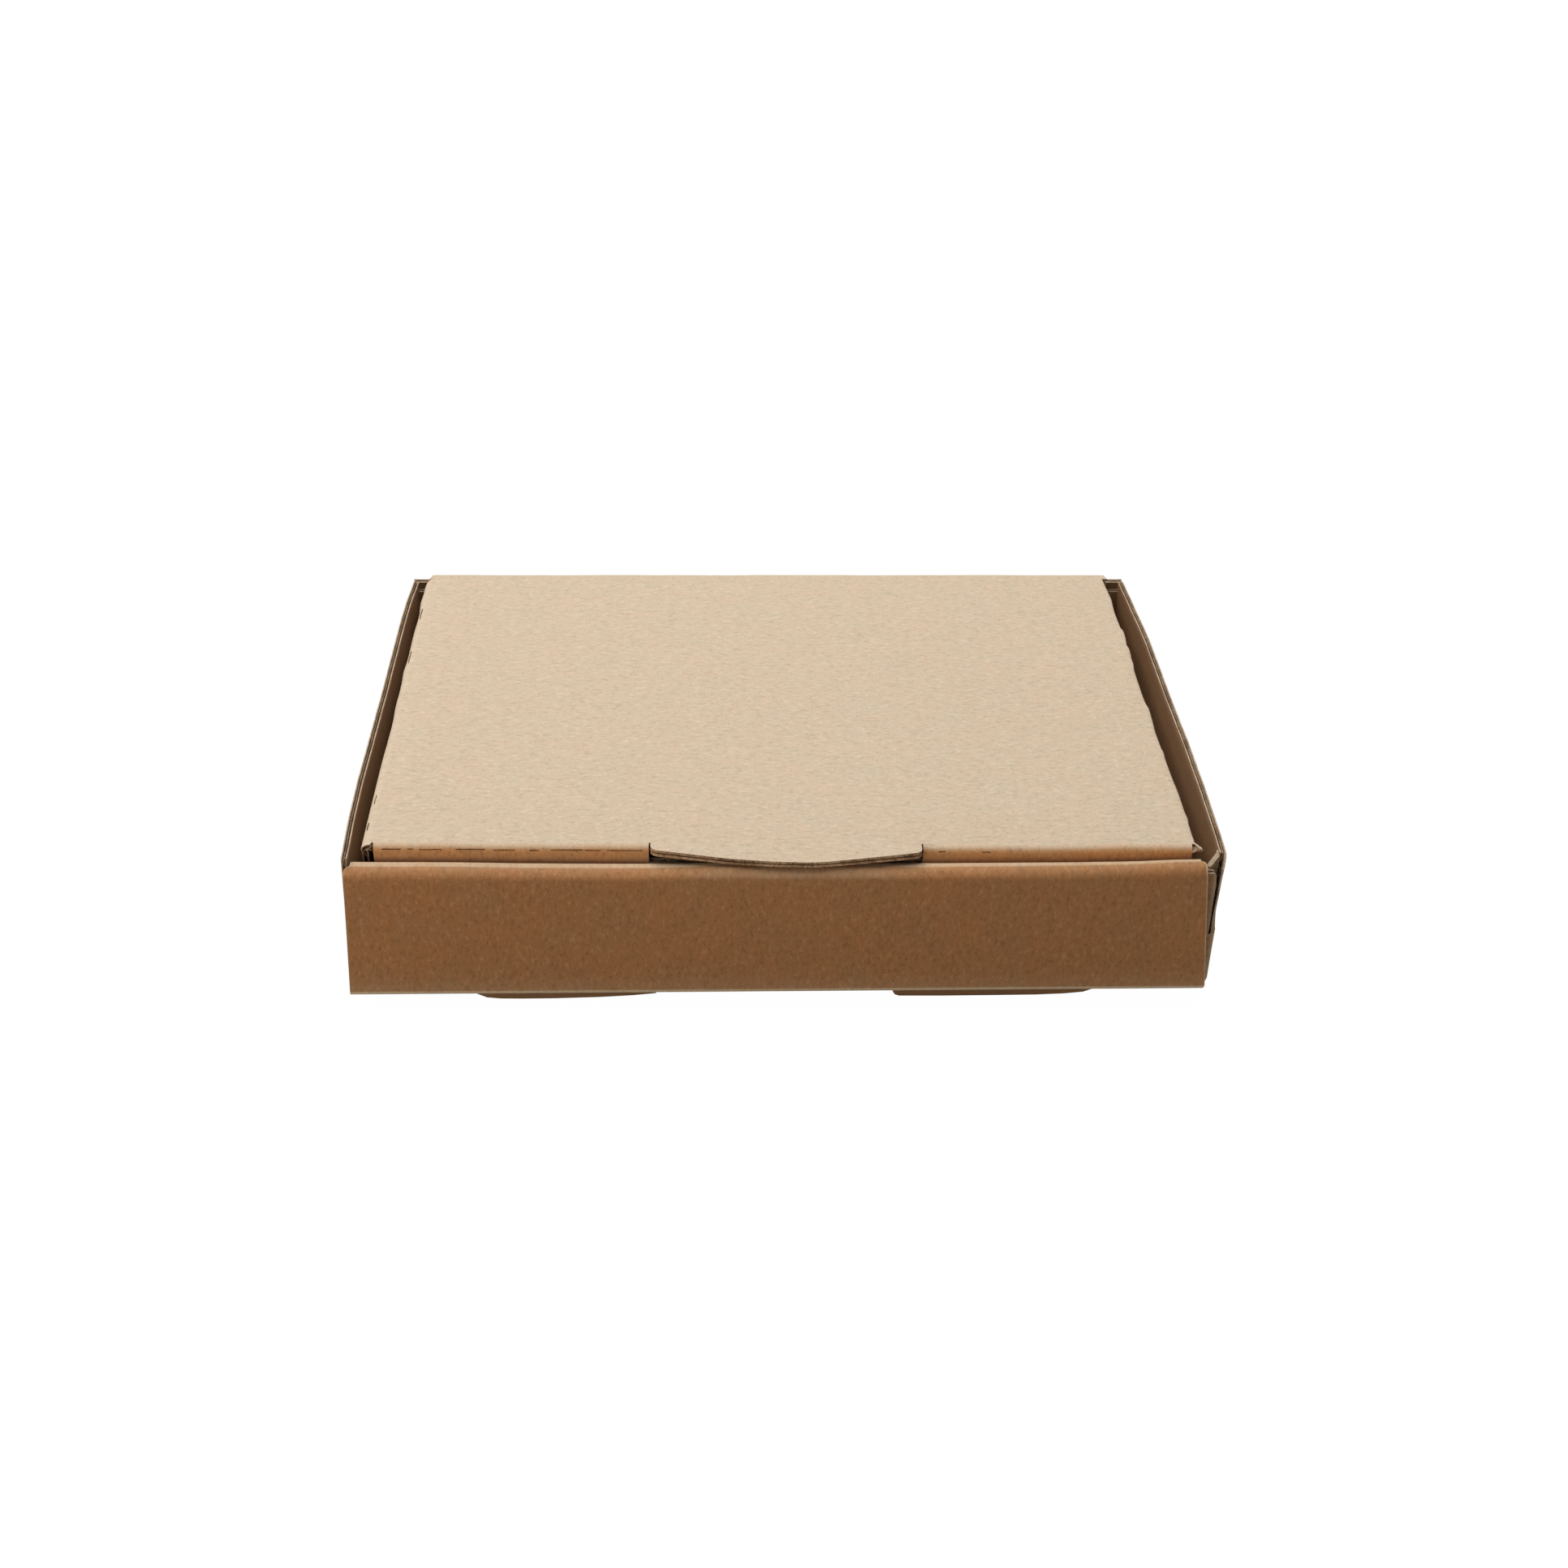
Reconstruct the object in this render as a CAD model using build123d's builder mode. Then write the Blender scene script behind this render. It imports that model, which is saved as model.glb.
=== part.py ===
from build123d import *

import math
import os

# A one-piece folded mailer box with its lid closed. Millimetres, +Z up.
# The origin is the middle of the base's underside, and the front is at -Y.

# The board
board = 1.5  # thickness of the fluted board
fold_radius = 1.2  # outside radius of a creased fold
sheet_gap = 0.1  # air where the sheet lies against itself

# The tray
tray_width = 153.4  # across the outsides of the side walls at the base
tray_depth = 108.0  # from the front face to the back face
side_wall_height = 27.0
front_wall_height = 26.3

# The front wall is a double wall: it rolls over at the top and comes down inside
front_bottom_inset = 0.5  # from the tray's side to the front wall's end, at the bottom
front_top_inset = 2.2  # the same at the top
front_corner_cut = 1.1  # small crushed corner at each end of the roll
roll_radius = 1.6  # outside radius of the two creases of the roll
inner_panel_side_gap = 0.5  # from the inner panel to the side walls

# The inner panel ends in lock tabs that stand out under the base
lock_tab_width = 33.0
lock_tab_spacing = 77.0  # between the middles of the two tabs
lock_tab_reach = 3.9  # how far they stand out below the base
lock_tab_outer_taper = 4.0  # how far a tab's outer side slopes in below the base
lock_tab_inner_taper = 0.6
lock_tab_corner = 1.6
slot_end_gap = 0.6  # air at each end of a slot

# The side walls bow out at the top, the right one more than the left.
# Each lean is how far the top stands out from the bottom.
left_lean_front = -0.6
left_lean_belly = -0.1
left_lean_rear = -1.1
right_lean_front = 1.1
right_lean_belly = 1.5
right_lean_rear = -1.1
belly_from_front = 24.0  # where the bow stands out most

# The corner flaps are the ends of the side walls, folded behind the front and back walls
front_flap_length = 34.0
rear_flap_length = 30.0
front_flap_top_gap = 0.3  # from the front corner flaps to the inside of the roll
rear_flap_top_gap = 1.6  # from the rear corner flaps to the lid
flap_end_slope = 4.0  # how far a flap's free end leans in at the top
fold_tear_depth = 11.0  # the right front fold is torn open from the top
fold_tear_width = 1.2

# The back wall
back_top_inset = 1.0  # how much narrower the back wall is at each end of its top

# The lid
lid_rest_gap = 0.1  # from the lid's underside to the walls that it lies on
lid_side_gap = 2.8  # from the lid to the side walls at their foot
lid_corner_cut = 1.4  # cut off each rear corner across the width
lid_corner_run = 5.0  # cut off each rear corner along the depth

# The tuck flap hangs from the lid's front fold, behind the front wall
tuck_gap = 0.3  # from the double front wall to the tuck flap at the fold
tuck_depth = 19.0
tuck_lean = 6.0  # degrees, back from upright
tuck_end_inset = 1.5  # how much shorter the flap is than the lid at each end
tuck_notch_run = 0.7  # how far the lid's corner stands back from the front fold
tuck_corner = 6.0

# The side flaps hang from the lid's side folds, inside the side walls
side_flap_depth = 20.0
side_flap_front_slope = 5.0  # how far the front edge leans back at the bottom
side_flap_rear_gap = 1.4  # from the side flap to the rear corner flap
side_flap_rear_slope = 5.0
side_flap_corner = 4.0

# The thumb tab stays in the lid's plane and lies on the front wall
thumb_tab_width = 47.4
thumb_tab_shift = 1.0  # to the right of the middle
thumb_tab_reach = 4.4  # past the lid's front fold, in the middle
thumb_tab_end_reach = 1.8  # past the front fold, at each end
thumb_tab_corner = 1.2
slit_width = 0.3
slit_run = 1.0  # how far the slit at each end of the tab runs into the lid

# Places worked out from the sizes
front_y = -tray_depth / 2
back_y = tray_depth / 2
wall_bottom_x = tray_width / 2
front_bottom_x = wall_bottom_x - front_bottom_inset
front_top_x = wall_bottom_x - front_top_inset
front_thickness = 3 * board + 2 * sheet_gap
inner_panel_y = front_y + front_thickness - board
corner_y = front_y + board + sheet_gap
rear_corner_y = back_y - board - sheet_gap
lid_bottom = front_wall_height + lid_rest_gap
lid_top = lid_bottom + board
lid_half_width = wall_bottom_x - board - lid_side_gap
hinge_y = back_y - board / 2
hinge_z = lid_bottom + board / 2
fold_y = front_y + front_thickness + tuck_gap
tuck_half_width = lid_half_width - tuck_end_inset
overcut = 1.0  # how far a cut runs past what it cuts

# A side wall grows out of the base's rounded edge, just inside its outline
wall_foot_x = wall_bottom_x - 0.04 * board
wall_foot_z = 0.7 * board


def upright(y):
    """A plane that faces the front, at this place along the depth."""
    return Plane.XZ.offset(-y)


def wall_section(side, y, lean):
    """A side wall's section at one place along the depth."""
    with BuildSketch(upright(y)) as section:
        with BuildLine():
            Polyline(
                (side * wall_foot_x, wall_foot_z),
                (side * (wall_foot_x + lean), side_wall_height),
                (side * (wall_foot_x + lean - board), side_wall_height),
                (side * (wall_foot_x - board), wall_foot_z),
                close=True,
            )
        make_face()
    return section.sketch


def corner_flap(side, y, lean, length, top):
    """A side wall's end, folded in behind the front or the back wall."""
    middle_x = wall_foot_x - board / 2
    top_x = middle_x + lean * (top - wall_foot_z) / (side_wall_height - wall_foot_z)
    free_end_x = wall_foot_x - length
    with BuildSketch(upright(y)) as outline:
        with BuildLine():
            Polyline(
                (side * middle_x, board + sheet_gap),
                (side * top_x, top),
                (side * (free_end_x + flap_end_slope), top),
                (side * free_end_x, board + sheet_gap),
                close=True,
            )
        make_face()
    return outline.sketch


with BuildPart() as tray:
    # The base, with its bottom edges rounded where the walls fold up
    with BuildSketch():
        Rectangle(tray_width, tray_depth)
    extrude(amount=board)
    fillet(tray.faces().sort_by(Axis.Z)[0].edges(), radius=fold_radius)

    # Slots behind the front fold, for the lock tabs
    with BuildSketch():
        with Locations((0, inner_panel_y + board / 2)):
            with GridLocations(lock_tab_spacing, 1, 2, 1):
                Rectangle(lock_tab_width + 2 * slot_end_gap, board + 2 * sheet_gap)
    extrude(amount=board, mode=Mode.SUBTRACT)

    # The front wall's section: up the outside, over the roll and down the inside
    with BuildSketch(Plane.YZ) as front_section:
        with BuildLine():
            Polyline(
                (front_y, fold_radius),
                (front_y, front_wall_height),
                (front_y + front_thickness, front_wall_height),
                (front_y + front_thickness, board + sheet_gap),
                (inner_panel_y, board + sheet_gap),
                (inner_panel_y, front_wall_height - board),
                (front_y + board, front_wall_height - board),
                (front_y + board, fold_radius),
                close=True,
            )
        make_face()
        fillet(front_section.vertices().group_by(Axis.Y)[-1], radius=roll_radius)
    extrude(amount=front_bottom_x, both=True)

    # The front wall narrows to its top, and the ends of its roll are crushed
    for side in (-1, 1):
        with BuildSketch(upright(front_y - overcut)):
            with BuildLine():
                Polyline(
                    (side * front_bottom_x, board),
                    (side * front_top_x, front_wall_height - front_corner_cut),
                    (side * (front_top_x - front_corner_cut), front_wall_height),
                    (side * (front_top_x - front_corner_cut), front_wall_height + overcut),
                    (side * (wall_bottom_x + overcut), front_wall_height + overcut),
                    (side * (wall_bottom_x + overcut), board),
                    close=True,
                )
            make_face()
        extrude(amount=-(front_thickness + 2 * overcut), mode=Mode.SUBTRACT)

    # The inner panel fits between the side walls
    inner_half_width = wall_bottom_x - board - inner_panel_side_gap
    with BuildSketch(upright(inner_panel_y)):
        with Locations((0, board + front_wall_height / 2)):
            Rectangle(2 * wall_bottom_x, front_wall_height)
            Rectangle(2 * inner_half_width, front_wall_height, mode=Mode.SUBTRACT)
    extrude(amount=-board, mode=Mode.SUBTRACT)

    # The lock tabs go down through the slots
    tab_root_z = board + 2 * sheet_gap
    for side in (-1, 1):
        tab_inner_x = (lock_tab_spacing - lock_tab_width) / 2
        tab_outer_x = (lock_tab_spacing + lock_tab_width) / 2
        with BuildSketch(upright(inner_panel_y)) as lock_tab:
            with BuildLine():
                Polyline(
                    (side * tab_inner_x, tab_root_z),
                    (side * tab_outer_x, tab_root_z),
                    (side * tab_outer_x, 0),
                    (side * (tab_outer_x - lock_tab_outer_taper), -lock_tab_reach),
                    (side * (tab_inner_x + lock_tab_inner_taper), -lock_tab_reach),
                    (side * tab_inner_x, 0),
                    close=True,
                )
            make_face()
            fillet(lock_tab.vertices().group_by(Axis.Y)[0], radius=lock_tab_corner)
        extrude(amount=-board)

    # The side walls, lofted through the bow of their top edges
    leans = {
        -1: (left_lean_front, left_lean_belly, left_lean_rear),
        1: (right_lean_front, right_lean_belly, right_lean_rear),
    }
    for side, (lean_front, lean_belly, lean_rear) in leans.items():
        loft([
            wall_section(side, corner_y, lean_front),
            wall_section(side, front_y + belly_from_front, lean_belly),
            wall_section(side, rear_corner_y, lean_rear),
        ])
        front_flap_top = front_wall_height - board - front_flap_top_gap
        rear_flap_top = lid_bottom - rear_flap_top_gap
        front_flap = corner_flap(side, corner_y, lean_front, front_flap_length, front_flap_top)
        extrude(front_flap, amount=-board)
        rear_flap = corner_flap(side, rear_corner_y - board, lean_rear, rear_flap_length, rear_flap_top)
        extrude(rear_flap, amount=-board)

    # The back wall
    back_top_half_width = wall_bottom_x - back_top_inset
    with BuildSketch(upright(back_y - board)):
        with BuildLine():
            Polyline(
                (-wall_bottom_x, fold_radius),
                (wall_bottom_x, fold_radius),
                (back_top_half_width, front_wall_height),
                (-back_top_half_width, front_wall_height),
                close=True,
            )
        make_face()
    extrude(amount=-board)

    # The upright folds between the side walls and their corner flaps
    for y in (corner_y, rear_corner_y):
        ends = tray.edges().filter_by_position(Axis.Y, y - sheet_gap / 2, y + sheet_gap / 2)
        fillet([ends.sort_by(Axis.X)[0], ends.sort_by(Axis.X)[-1]], radius=fold_radius)

    # The right front fold is torn open, down from the top of its flap
    tear_x = wall_foot_x + right_lean_front - board
    with BuildSketch(upright(corner_y - overcut)):
        with BuildLine():
            Polyline(
                (tear_x - fold_tear_width, side_wall_height),
                (tear_x, side_wall_height),
                (tear_x - fold_tear_width / 4, front_flap_top - fold_tear_depth),
                (tear_x - fold_tear_width * 3 / 4, front_flap_top - fold_tear_depth),
                close=True,
            )
        make_face()
    extrude(amount=-(board + 2 * overcut), mode=Mode.SUBTRACT)
tray.part.label = "tray"

with BuildPart() as lid:
    # The lid and its tuck flap, a section along the depth
    lean = math.radians(tuck_lean)
    tuck_run = tuck_depth * math.tan(lean)
    tuck_skin = board / math.cos(lean)
    with BuildSketch(Plane.YZ) as lid_section:
        with BuildLine():
            Polyline(
                (hinge_y, lid_top),
                (fold_y, lid_top),
                (fold_y + tuck_run, lid_top - tuck_depth),
                (fold_y + tuck_run + tuck_skin, lid_top - tuck_depth),
                (fold_y + board * math.tan(lean) + tuck_skin, lid_bottom),
                (hinge_y, lid_bottom),
            )
            ThreePointArc((hinge_y, lid_bottom), (hinge_y + board / 2, hinge_z), (hinge_y, lid_top))
        make_face()
        fillet(lid_section.vertices().group_by(Axis.Y)[-1].sort_by(Axis.X)[0], radius=fold_radius)
    extrude(amount=tuck_half_width, both=True)

    # The tuck flap's free corners are round
    fillet(
        lid.edges().filter_by(lambda edge: edge.length < 2 * board).group_by(Axis.Z)[0],
        radius=tuck_corner,
    )

    # The lid across its full width, with the side folds rounded
    side_front_y = fold_y + tuck_notch_run
    with BuildSketch(upright(side_front_y)) as cross_section:
        with Locations((0, hinge_z)):
            Rectangle(2 * lid_half_width, board)
        fillet(cross_section.vertices().group_by(Axis.Y)[-1], radius=fold_radius)
    extrude(amount=-(hinge_y - side_front_y))

    # The rear corners are cut back to the fold
    for side in (-1, 1):
        with BuildSketch(Plane.XY.offset(lid_bottom - overcut)):
            with BuildLine():
                Polyline(
                    (side * lid_half_width, hinge_y - lid_corner_run),
                    (side * (lid_half_width - lid_corner_cut), hinge_y),
                    (side * (lid_half_width - lid_corner_cut), back_y + overcut),
                    (side * (lid_half_width + overcut), back_y + overcut),
                    (side * (lid_half_width + overcut), hinge_y - lid_corner_run),
                    close=True,
                )
            make_face()
        extrude(amount=board + 2 * overcut, mode=Mode.SUBTRACT)

    # The side flaps, each with its ends sloped and its free corners rounded
    side_rear_y = rear_corner_y - board - side_flap_rear_gap
    side_bottom_z = lid_bottom - side_flap_depth
    for side in (-1, 1):
        with BuildSketch(Plane.YZ.offset(side * lid_half_width)) as side_flap:
            with BuildLine():
                Polyline(
                    (side_front_y, lid_top - fold_radius),
                    (side_front_y + side_flap_front_slope, side_bottom_z),
                    (side_rear_y - side_flap_rear_slope, side_bottom_z),
                    (side_rear_y, lid_top - fold_radius),
                    close=True,
                )
            make_face()
            fillet(side_flap.vertices().group_by(Axis.Y)[0], radius=side_flap_corner)
        extrude(amount=-side * board)

    # The thumb tab's shape is cut out of the tuck flap below the fold
    tab_left = thumb_tab_shift - thumb_tab_width / 2
    tab_right = thumb_tab_shift + thumb_tab_width / 2
    notch_run = tuck_skin + thumb_tab_reach * math.tan(lean) + sheet_gap
    with BuildSketch(upright(fold_y - overcut)):
        with BuildLine():
            Polyline(
                (tab_right + slit_width, lid_top - thumb_tab_end_reach),
                (tab_right + slit_width, lid_top + overcut),
                (tab_left - slit_width, lid_top + overcut),
                (tab_left - slit_width, lid_top - thumb_tab_end_reach),
            )
            ThreePointArc(
                (tab_left - slit_width, lid_top - thumb_tab_end_reach),
                (thumb_tab_shift, lid_top - thumb_tab_reach),
                (tab_right + slit_width, lid_top - thumb_tab_end_reach),
            )
        make_face()
    extrude(amount=-(notch_run + overcut), mode=Mode.SUBTRACT)

    # The thumb tab, with a short slit into the lid at each end
    with BuildSketch(Plane.XY.offset(lid_bottom)) as thumb_tab:
        with BuildLine():
            Polyline(
                (tab_right, fold_y - thumb_tab_end_reach),
                (tab_right, fold_y + slit_run),
                (tab_right + slit_width, fold_y + slit_run),
                (tab_right + slit_width, fold_y + notch_run),
                (tab_left - slit_width, fold_y + notch_run),
                (tab_left - slit_width, fold_y + slit_run),
                (tab_left, fold_y + slit_run),
                (tab_left, fold_y - thumb_tab_end_reach),
            )
            ThreePointArc(
                (tab_left, fold_y - thumb_tab_end_reach),
                (thumb_tab_shift, fold_y - thumb_tab_reach),
                (tab_right, fold_y - thumb_tab_end_reach),
            )
        make_face()
        tab_corners = thumb_tab.vertices().filter_by_position(
            Axis.Y, fold_y - thumb_tab_end_reach - sheet_gap, fold_y - thumb_tab_end_reach + sheet_gap
        )
        fillet(tab_corners, radius=thumb_tab_corner)
    extrude(amount=board)
lid.part.label = "lid"

os.makedirs("parts", exist_ok=True)
export_step(tray.part, "parts/tray.step")
export_step(lid.part, "parts/lid.step")
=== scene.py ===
import logging
import math
from dataclasses import dataclass, field, replace
from enum import Enum
from typing import Callable, Optional, Sequence

import bmesh
import bpy
import numpy as np
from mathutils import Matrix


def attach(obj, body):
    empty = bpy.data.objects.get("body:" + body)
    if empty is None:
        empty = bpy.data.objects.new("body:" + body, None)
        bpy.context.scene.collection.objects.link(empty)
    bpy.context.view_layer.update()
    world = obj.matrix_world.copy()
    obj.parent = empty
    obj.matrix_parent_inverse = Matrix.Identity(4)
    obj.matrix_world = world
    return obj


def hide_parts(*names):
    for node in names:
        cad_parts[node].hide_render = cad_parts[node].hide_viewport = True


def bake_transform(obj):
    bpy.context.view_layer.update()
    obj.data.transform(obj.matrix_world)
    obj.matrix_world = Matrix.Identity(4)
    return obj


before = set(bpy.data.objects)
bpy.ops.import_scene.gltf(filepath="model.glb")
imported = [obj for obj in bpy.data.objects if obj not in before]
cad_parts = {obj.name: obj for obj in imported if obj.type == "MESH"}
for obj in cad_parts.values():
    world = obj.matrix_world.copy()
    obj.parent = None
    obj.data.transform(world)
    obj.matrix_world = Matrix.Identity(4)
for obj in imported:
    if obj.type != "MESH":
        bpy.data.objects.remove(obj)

# A folded mailer box of kraft fluted board. Sizes are in millimetres until a mesh is made.
log = logging.getLogger("mailer_box")
MM = 0.001
STEP_GAP = 0.02  # how far a step in an edge is from the two rows that make it
Array = np.ndarray
Placing = Callable[[Array, Array, Array], Array]


class Body(Enum):
    """The parts of the box that move as one."""

    TRAY = "tray"
    LID = "lid"


class Side(Enum):
    """The box's left and right, seen from the front."""

    LEFT = -1
    RIGHT = 1


class Face(Enum):
    """The places of a sheet's four papers among its material slots."""

    OUTSIDE = 0
    INSIDE = 1
    CUT = 2
    FLUTE = 3


@dataclass(frozen=True)
class Board:
    """The fluted board: two liners with a waved paper between them."""

    thickness: float = 1.5
    liner: float = 0.29
    paper: float = 0.2
    pitch: float = 3.4
    crush: float = 0.10


BOARD = Board()


# ---- Node trees


class Wire:
    """A node's socket, on which Python arithmetic adds Math nodes."""

    def __init__(self, graph: "Graph", socket: Optional[bpy.types.NodeSocket]) -> None:
        """Keeps the graph and the socket."""
        self.graph, self.socket = graph, socket

    def math(self, operation: str, other: object = 0.0, swapped: bool = False) -> "Wire":
        """Adds one Math node.

        Args:
            operation: the Math node's operation.
            other: a number or a wire.
            swapped: true if the other value comes first.

        Returns:
            The node's value.
        """
        pair = (other, self) if swapped else (self, other)
        return self.graph.node("ShaderNodeMath", dict(enumerate(pair)), {"operation": operation})

    def out(self, name: object) -> "Wire":
        """Another output of the same node."""
        return Wire(self.graph, self.socket.node.outputs[name])

    def sine(self) -> "Wire":
        """The sine of this value."""
        return self.math("SINE")

    def clamp(self) -> "Wire":
        """This value, kept from 0 to 1."""
        return self.graph.node("ShaderNodeClamp", {"Value": self})

    def above(self, low: float, high: float) -> "Wire":
        """How far this value is from low to high, as a smooth mask from 0 to 1."""
        values = {"Value": self, "From Min": low, "From Max": high}
        return self.graph.node("ShaderNodeMapRange", values, {"interpolation_type": "SMOOTHSTEP"})


def arithmetic(operation: str, swapped: bool) -> Callable[[Wire, object], Wire]:
    """The method of Wire that stands for one Python operator."""
    return lambda wire, other: wire.math(operation, other, swapped)


OPERATORS = {
    "add": "ADD", "sub": "SUBTRACT", "mul": "MULTIPLY", "truediv": "DIVIDE", "pow": "POWER",
}
for sign, operation in OPERATORS.items():
    setattr(Wire, f"__{sign}__", arithmetic(operation, False))
    setattr(Wire, f"__r{sign}__", arithmetic(operation, True))


class Graph:
    """A node tree that is filled in by one method."""

    def __init__(self, tree: bpy.types.NodeTree) -> None:
        """Empties the tree and keeps it."""
        self.tree = tree
        tree.nodes.clear()

    def node(
        self, kind: str, inputs: dict, settings: Optional[dict] = None, output: object = 0
    ) -> Wire:
        """Adds one node.

        Args:
            kind: the node's type name.
            inputs: numbers, colours or wires by socket name or place.
            settings: the node's own properties, which are set first.
            output: the name or place of the socket that is given back.

        Returns:
            The output socket as a wire.
        """
        made = self.tree.nodes.new(kind)
        for name, value in (settings or {}).items():
            setattr(made, name, value)
        for key, value in inputs.items():
            if isinstance(value, Wire):
                self.tree.links.new(value.socket, made.inputs[key])
            else:
                made.inputs[key].default_value = value
        return Wire(self, made.outputs[output] if len(made.outputs) else None)

    def mix(self, factor: object, first: object, second: object) -> Wire:
        """Mixes two colours, from 0 for the first to 1 for the second."""
        values = {0: factor, 6: first, 7: second}
        return self.node("ShaderNodeMix", values, {"data_type": "RGBA"}, 2)

    def parts(self, vector: Wire) -> tuple:
        """The three parts of a vector."""
        first = self.node("ShaderNodeSeparateXYZ", {0: vector})
        return first, first.out(1), first.out(2)

    def vector(self, x: object, y: object, z: object) -> Wire:
        """The vector of three parts."""
        return self.node("ShaderNodeCombineXYZ", {0: x, 1: y, 2: z})

    def noise(self, vector: Wire, scale: tuple, detail: float = 2.0, shift: float = 0.0) -> Wire:
        """Fractal noise, stretched along its axes.

        Args:
            vector: the place that it is read at.
            scale: features to the metre along each axis.
            detail: how many octaves.
            shift: moves the pattern, so that two of the same scale differ.

        Returns:
            A value about 0.5.
        """
        values = {"Vector": vector, "Location": (shift, shift * 0.7, shift * 0.3), "Scale": scale}
        placed = self.node("ShaderNodeMapping", values)
        return self.node("ShaderNodeTexNoise", {"Vector": placed, "Scale": 1.0, "Detail": detail})


def rgba(colour: tuple, level: float = 1.0) -> tuple:
    """The colour times a level, with an alpha of 1."""
    return (*(level * part for part in colour), 1.0)


# ---- Finishes


@dataclass(frozen=True)
class Paper:
    """A finish of one Principled shader."""

    name: str

    def inputs(self, graph: Graph) -> dict:
        """Adds the paper's pattern and gives the shader's inputs."""
        raise NotImplementedError

    def material(self) -> bpy.types.Material:
        """Makes the material.

        Returns:
            The paper's material.
        """
        made = bpy.data.materials.new(self.name)
        made.use_nodes = True
        graph = Graph(made.node_tree)
        shader = graph.node("ShaderNodeBsdfPrincipled", self.inputs(graph))
        graph.node("ShaderNodeOutputMaterial", {"Surface": shader})
        return made


@dataclass(frozen=True)
class KraftPaper(Paper):
    """A brown liner with cloudy pulp, fibres along or across the flutes and fine specks."""

    warm: tuple
    cool: tuple
    fibre_dark: tuple
    fibre_light: tuple
    # The pale colour of wear on some edges and folds, and of painted highlight where faces turn up
    # to the light
    wear_and_highlight_colour: tuple
    cloud: float = 0.7
    fibre: float = 0.65
    washboard: float = 0.03
    streaks: tuple = (270.0, 95.0)
    turned: bool = True
    roughness: float = 0.78
    specular: float = 0.22

    def _grain(self, first: float, second: float) -> tuple:
        """A fine pattern's scale, turned round if the paper's fibres run the other way."""
        return (second, first, 1.0) if self.turned else (first, second, 1.0)

    def inputs(self, graph: Graph) -> dict:
        """Adds the pattern, which follows the sheet's own map and its attribute of wear and painted
        highlight.

        Args:
            graph: the material's graph.

        Returns:
            The shader's inputs.
        """
        sheet = graph.node("ShaderNodeUVMap", {}, {"uv_map": "sheet"})
        scuff = graph.node("ShaderNodeAttribute", {}, {"attribute_name": "scuff"}, "Fac")
        clouds = graph.noise(sheet, (85.0, 105.0, 1.0), 2.0)
        pulp = graph.noise(sheet, (*self.streaks, 1.0), 3.0, 3.1)
        fibres = graph.noise(sheet, self._grain(760.0, 1500.0), 3.0, 7.7)
        grain = graph.noise(sheet, self._grain(2300.0, 3400.0), 2.0, 1.3)
        threads = graph.noise(sheet, self._grain(850.0, 2700.0), 2.0, 5.9)
        specks = graph.noise(sheet, (1500.0, 1900.0, 1.0), 1.0, 11.0).above(0.76, 0.84)
        flutes = graph.parts(sheet)[0] * (2 * math.pi / (BOARD.pitch * MM))
        wave = (flutes + clouds * 3.0).sine() * pulp

        tone = (clouds * 0.45 + pulp * 0.55).above(0.36, 0.64)
        dark = (fibres.above(0.48, 0.28) * 0.55 + grain.above(0.48, 0.28) * 0.6) * self.fibre
        light = (fibres.above(0.53, 0.74) * 0.5 + threads.above(0.56, 0.78) * 0.35) * self.fibre
        colour = graph.mix(tone * self.cloud, rgba(self.warm), rgba(self.cool))
        colour = graph.mix(dark, colour, rgba(self.fibre_dark))
        colour = graph.mix(light, colour, rgba(self.fibre_light))
        colour = graph.mix((wave * 0.5 + 0.5) * self.washboard, colour, rgba(self.fibre_dark))
        colour = graph.mix(specks * 0.5, colour, rgba(self.fibre_dark))
        # A paler colour where the attribute is set: wear, and painted highlight on faces turned up
        # to the light.
        wear_and_highlight_tone = graph.mix(dark, rgba(self.wear_and_highlight_colour), rgba(self.wear_and_highlight_colour, 0.7))
        wear_and_highlight_tone = graph.mix(light, wear_and_highlight_tone, rgba(self.wear_and_highlight_colour, 1.26))
        colour = graph.mix((scuff * (0.55 + pulp * 0.6)).clamp(), colour, wear_and_highlight_tone)

        height = fibres * 0.45 + grain * 0.25 + threads * 0.3
        values = {"Strength": 0.22, "Distance": 0.00008, "Height": height}
        normal = graph.node("ShaderNodeBump", values)
        values = {"Strength": 0.4, "Distance": 0.00003, "Height": wave, "Normal": normal}
        return {
            "Base Color": colour,
            "Roughness": self.roughness + (fibres - 0.5) * 0.18,
            "Specular IOR Level": self.specular,
            "Normal": graph.node("ShaderNodeBump", values),
        }


@dataclass(frozen=True)
class CutPaper(Paper):
    """Paper seen on its cut edge or inside the flutes: fuzzy, with grey and dark fibres."""

    pale: tuple
    dark: tuple
    grain: float = 2600.0
    roughness: float = 0.92

    def inputs(self, graph: Graph) -> dict:
        """Adds the pattern, which reads Object coordinates.

        Args:
            graph: the material's graph.

        Returns:
            The shader's inputs.
        """
        place = graph.node("ShaderNodeTexCoord", {}, {}, "Object")
        fuzz = graph.noise(place, (self.grain, self.grain, self.grain), 3.0)
        patch = graph.noise(place, (340.0, 340.0, 340.0), 2.0, 2.0)
        tone = (fuzz * 0.55 + patch * 0.45).above(0.38, 0.62)
        values = {"Strength": 0.5, "Distance": 0.00008, "Height": fuzz}
        return {
            "Base Color": graph.mix(tone, rgba(self.dark), rgba(self.pale)),
            "Roughness": self.roughness + (fuzz - 0.5) * 0.1,
            "Specular IOR Level": 0.15,
            "Normal": graph.node("ShaderNodeBump", values),
        }


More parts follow.
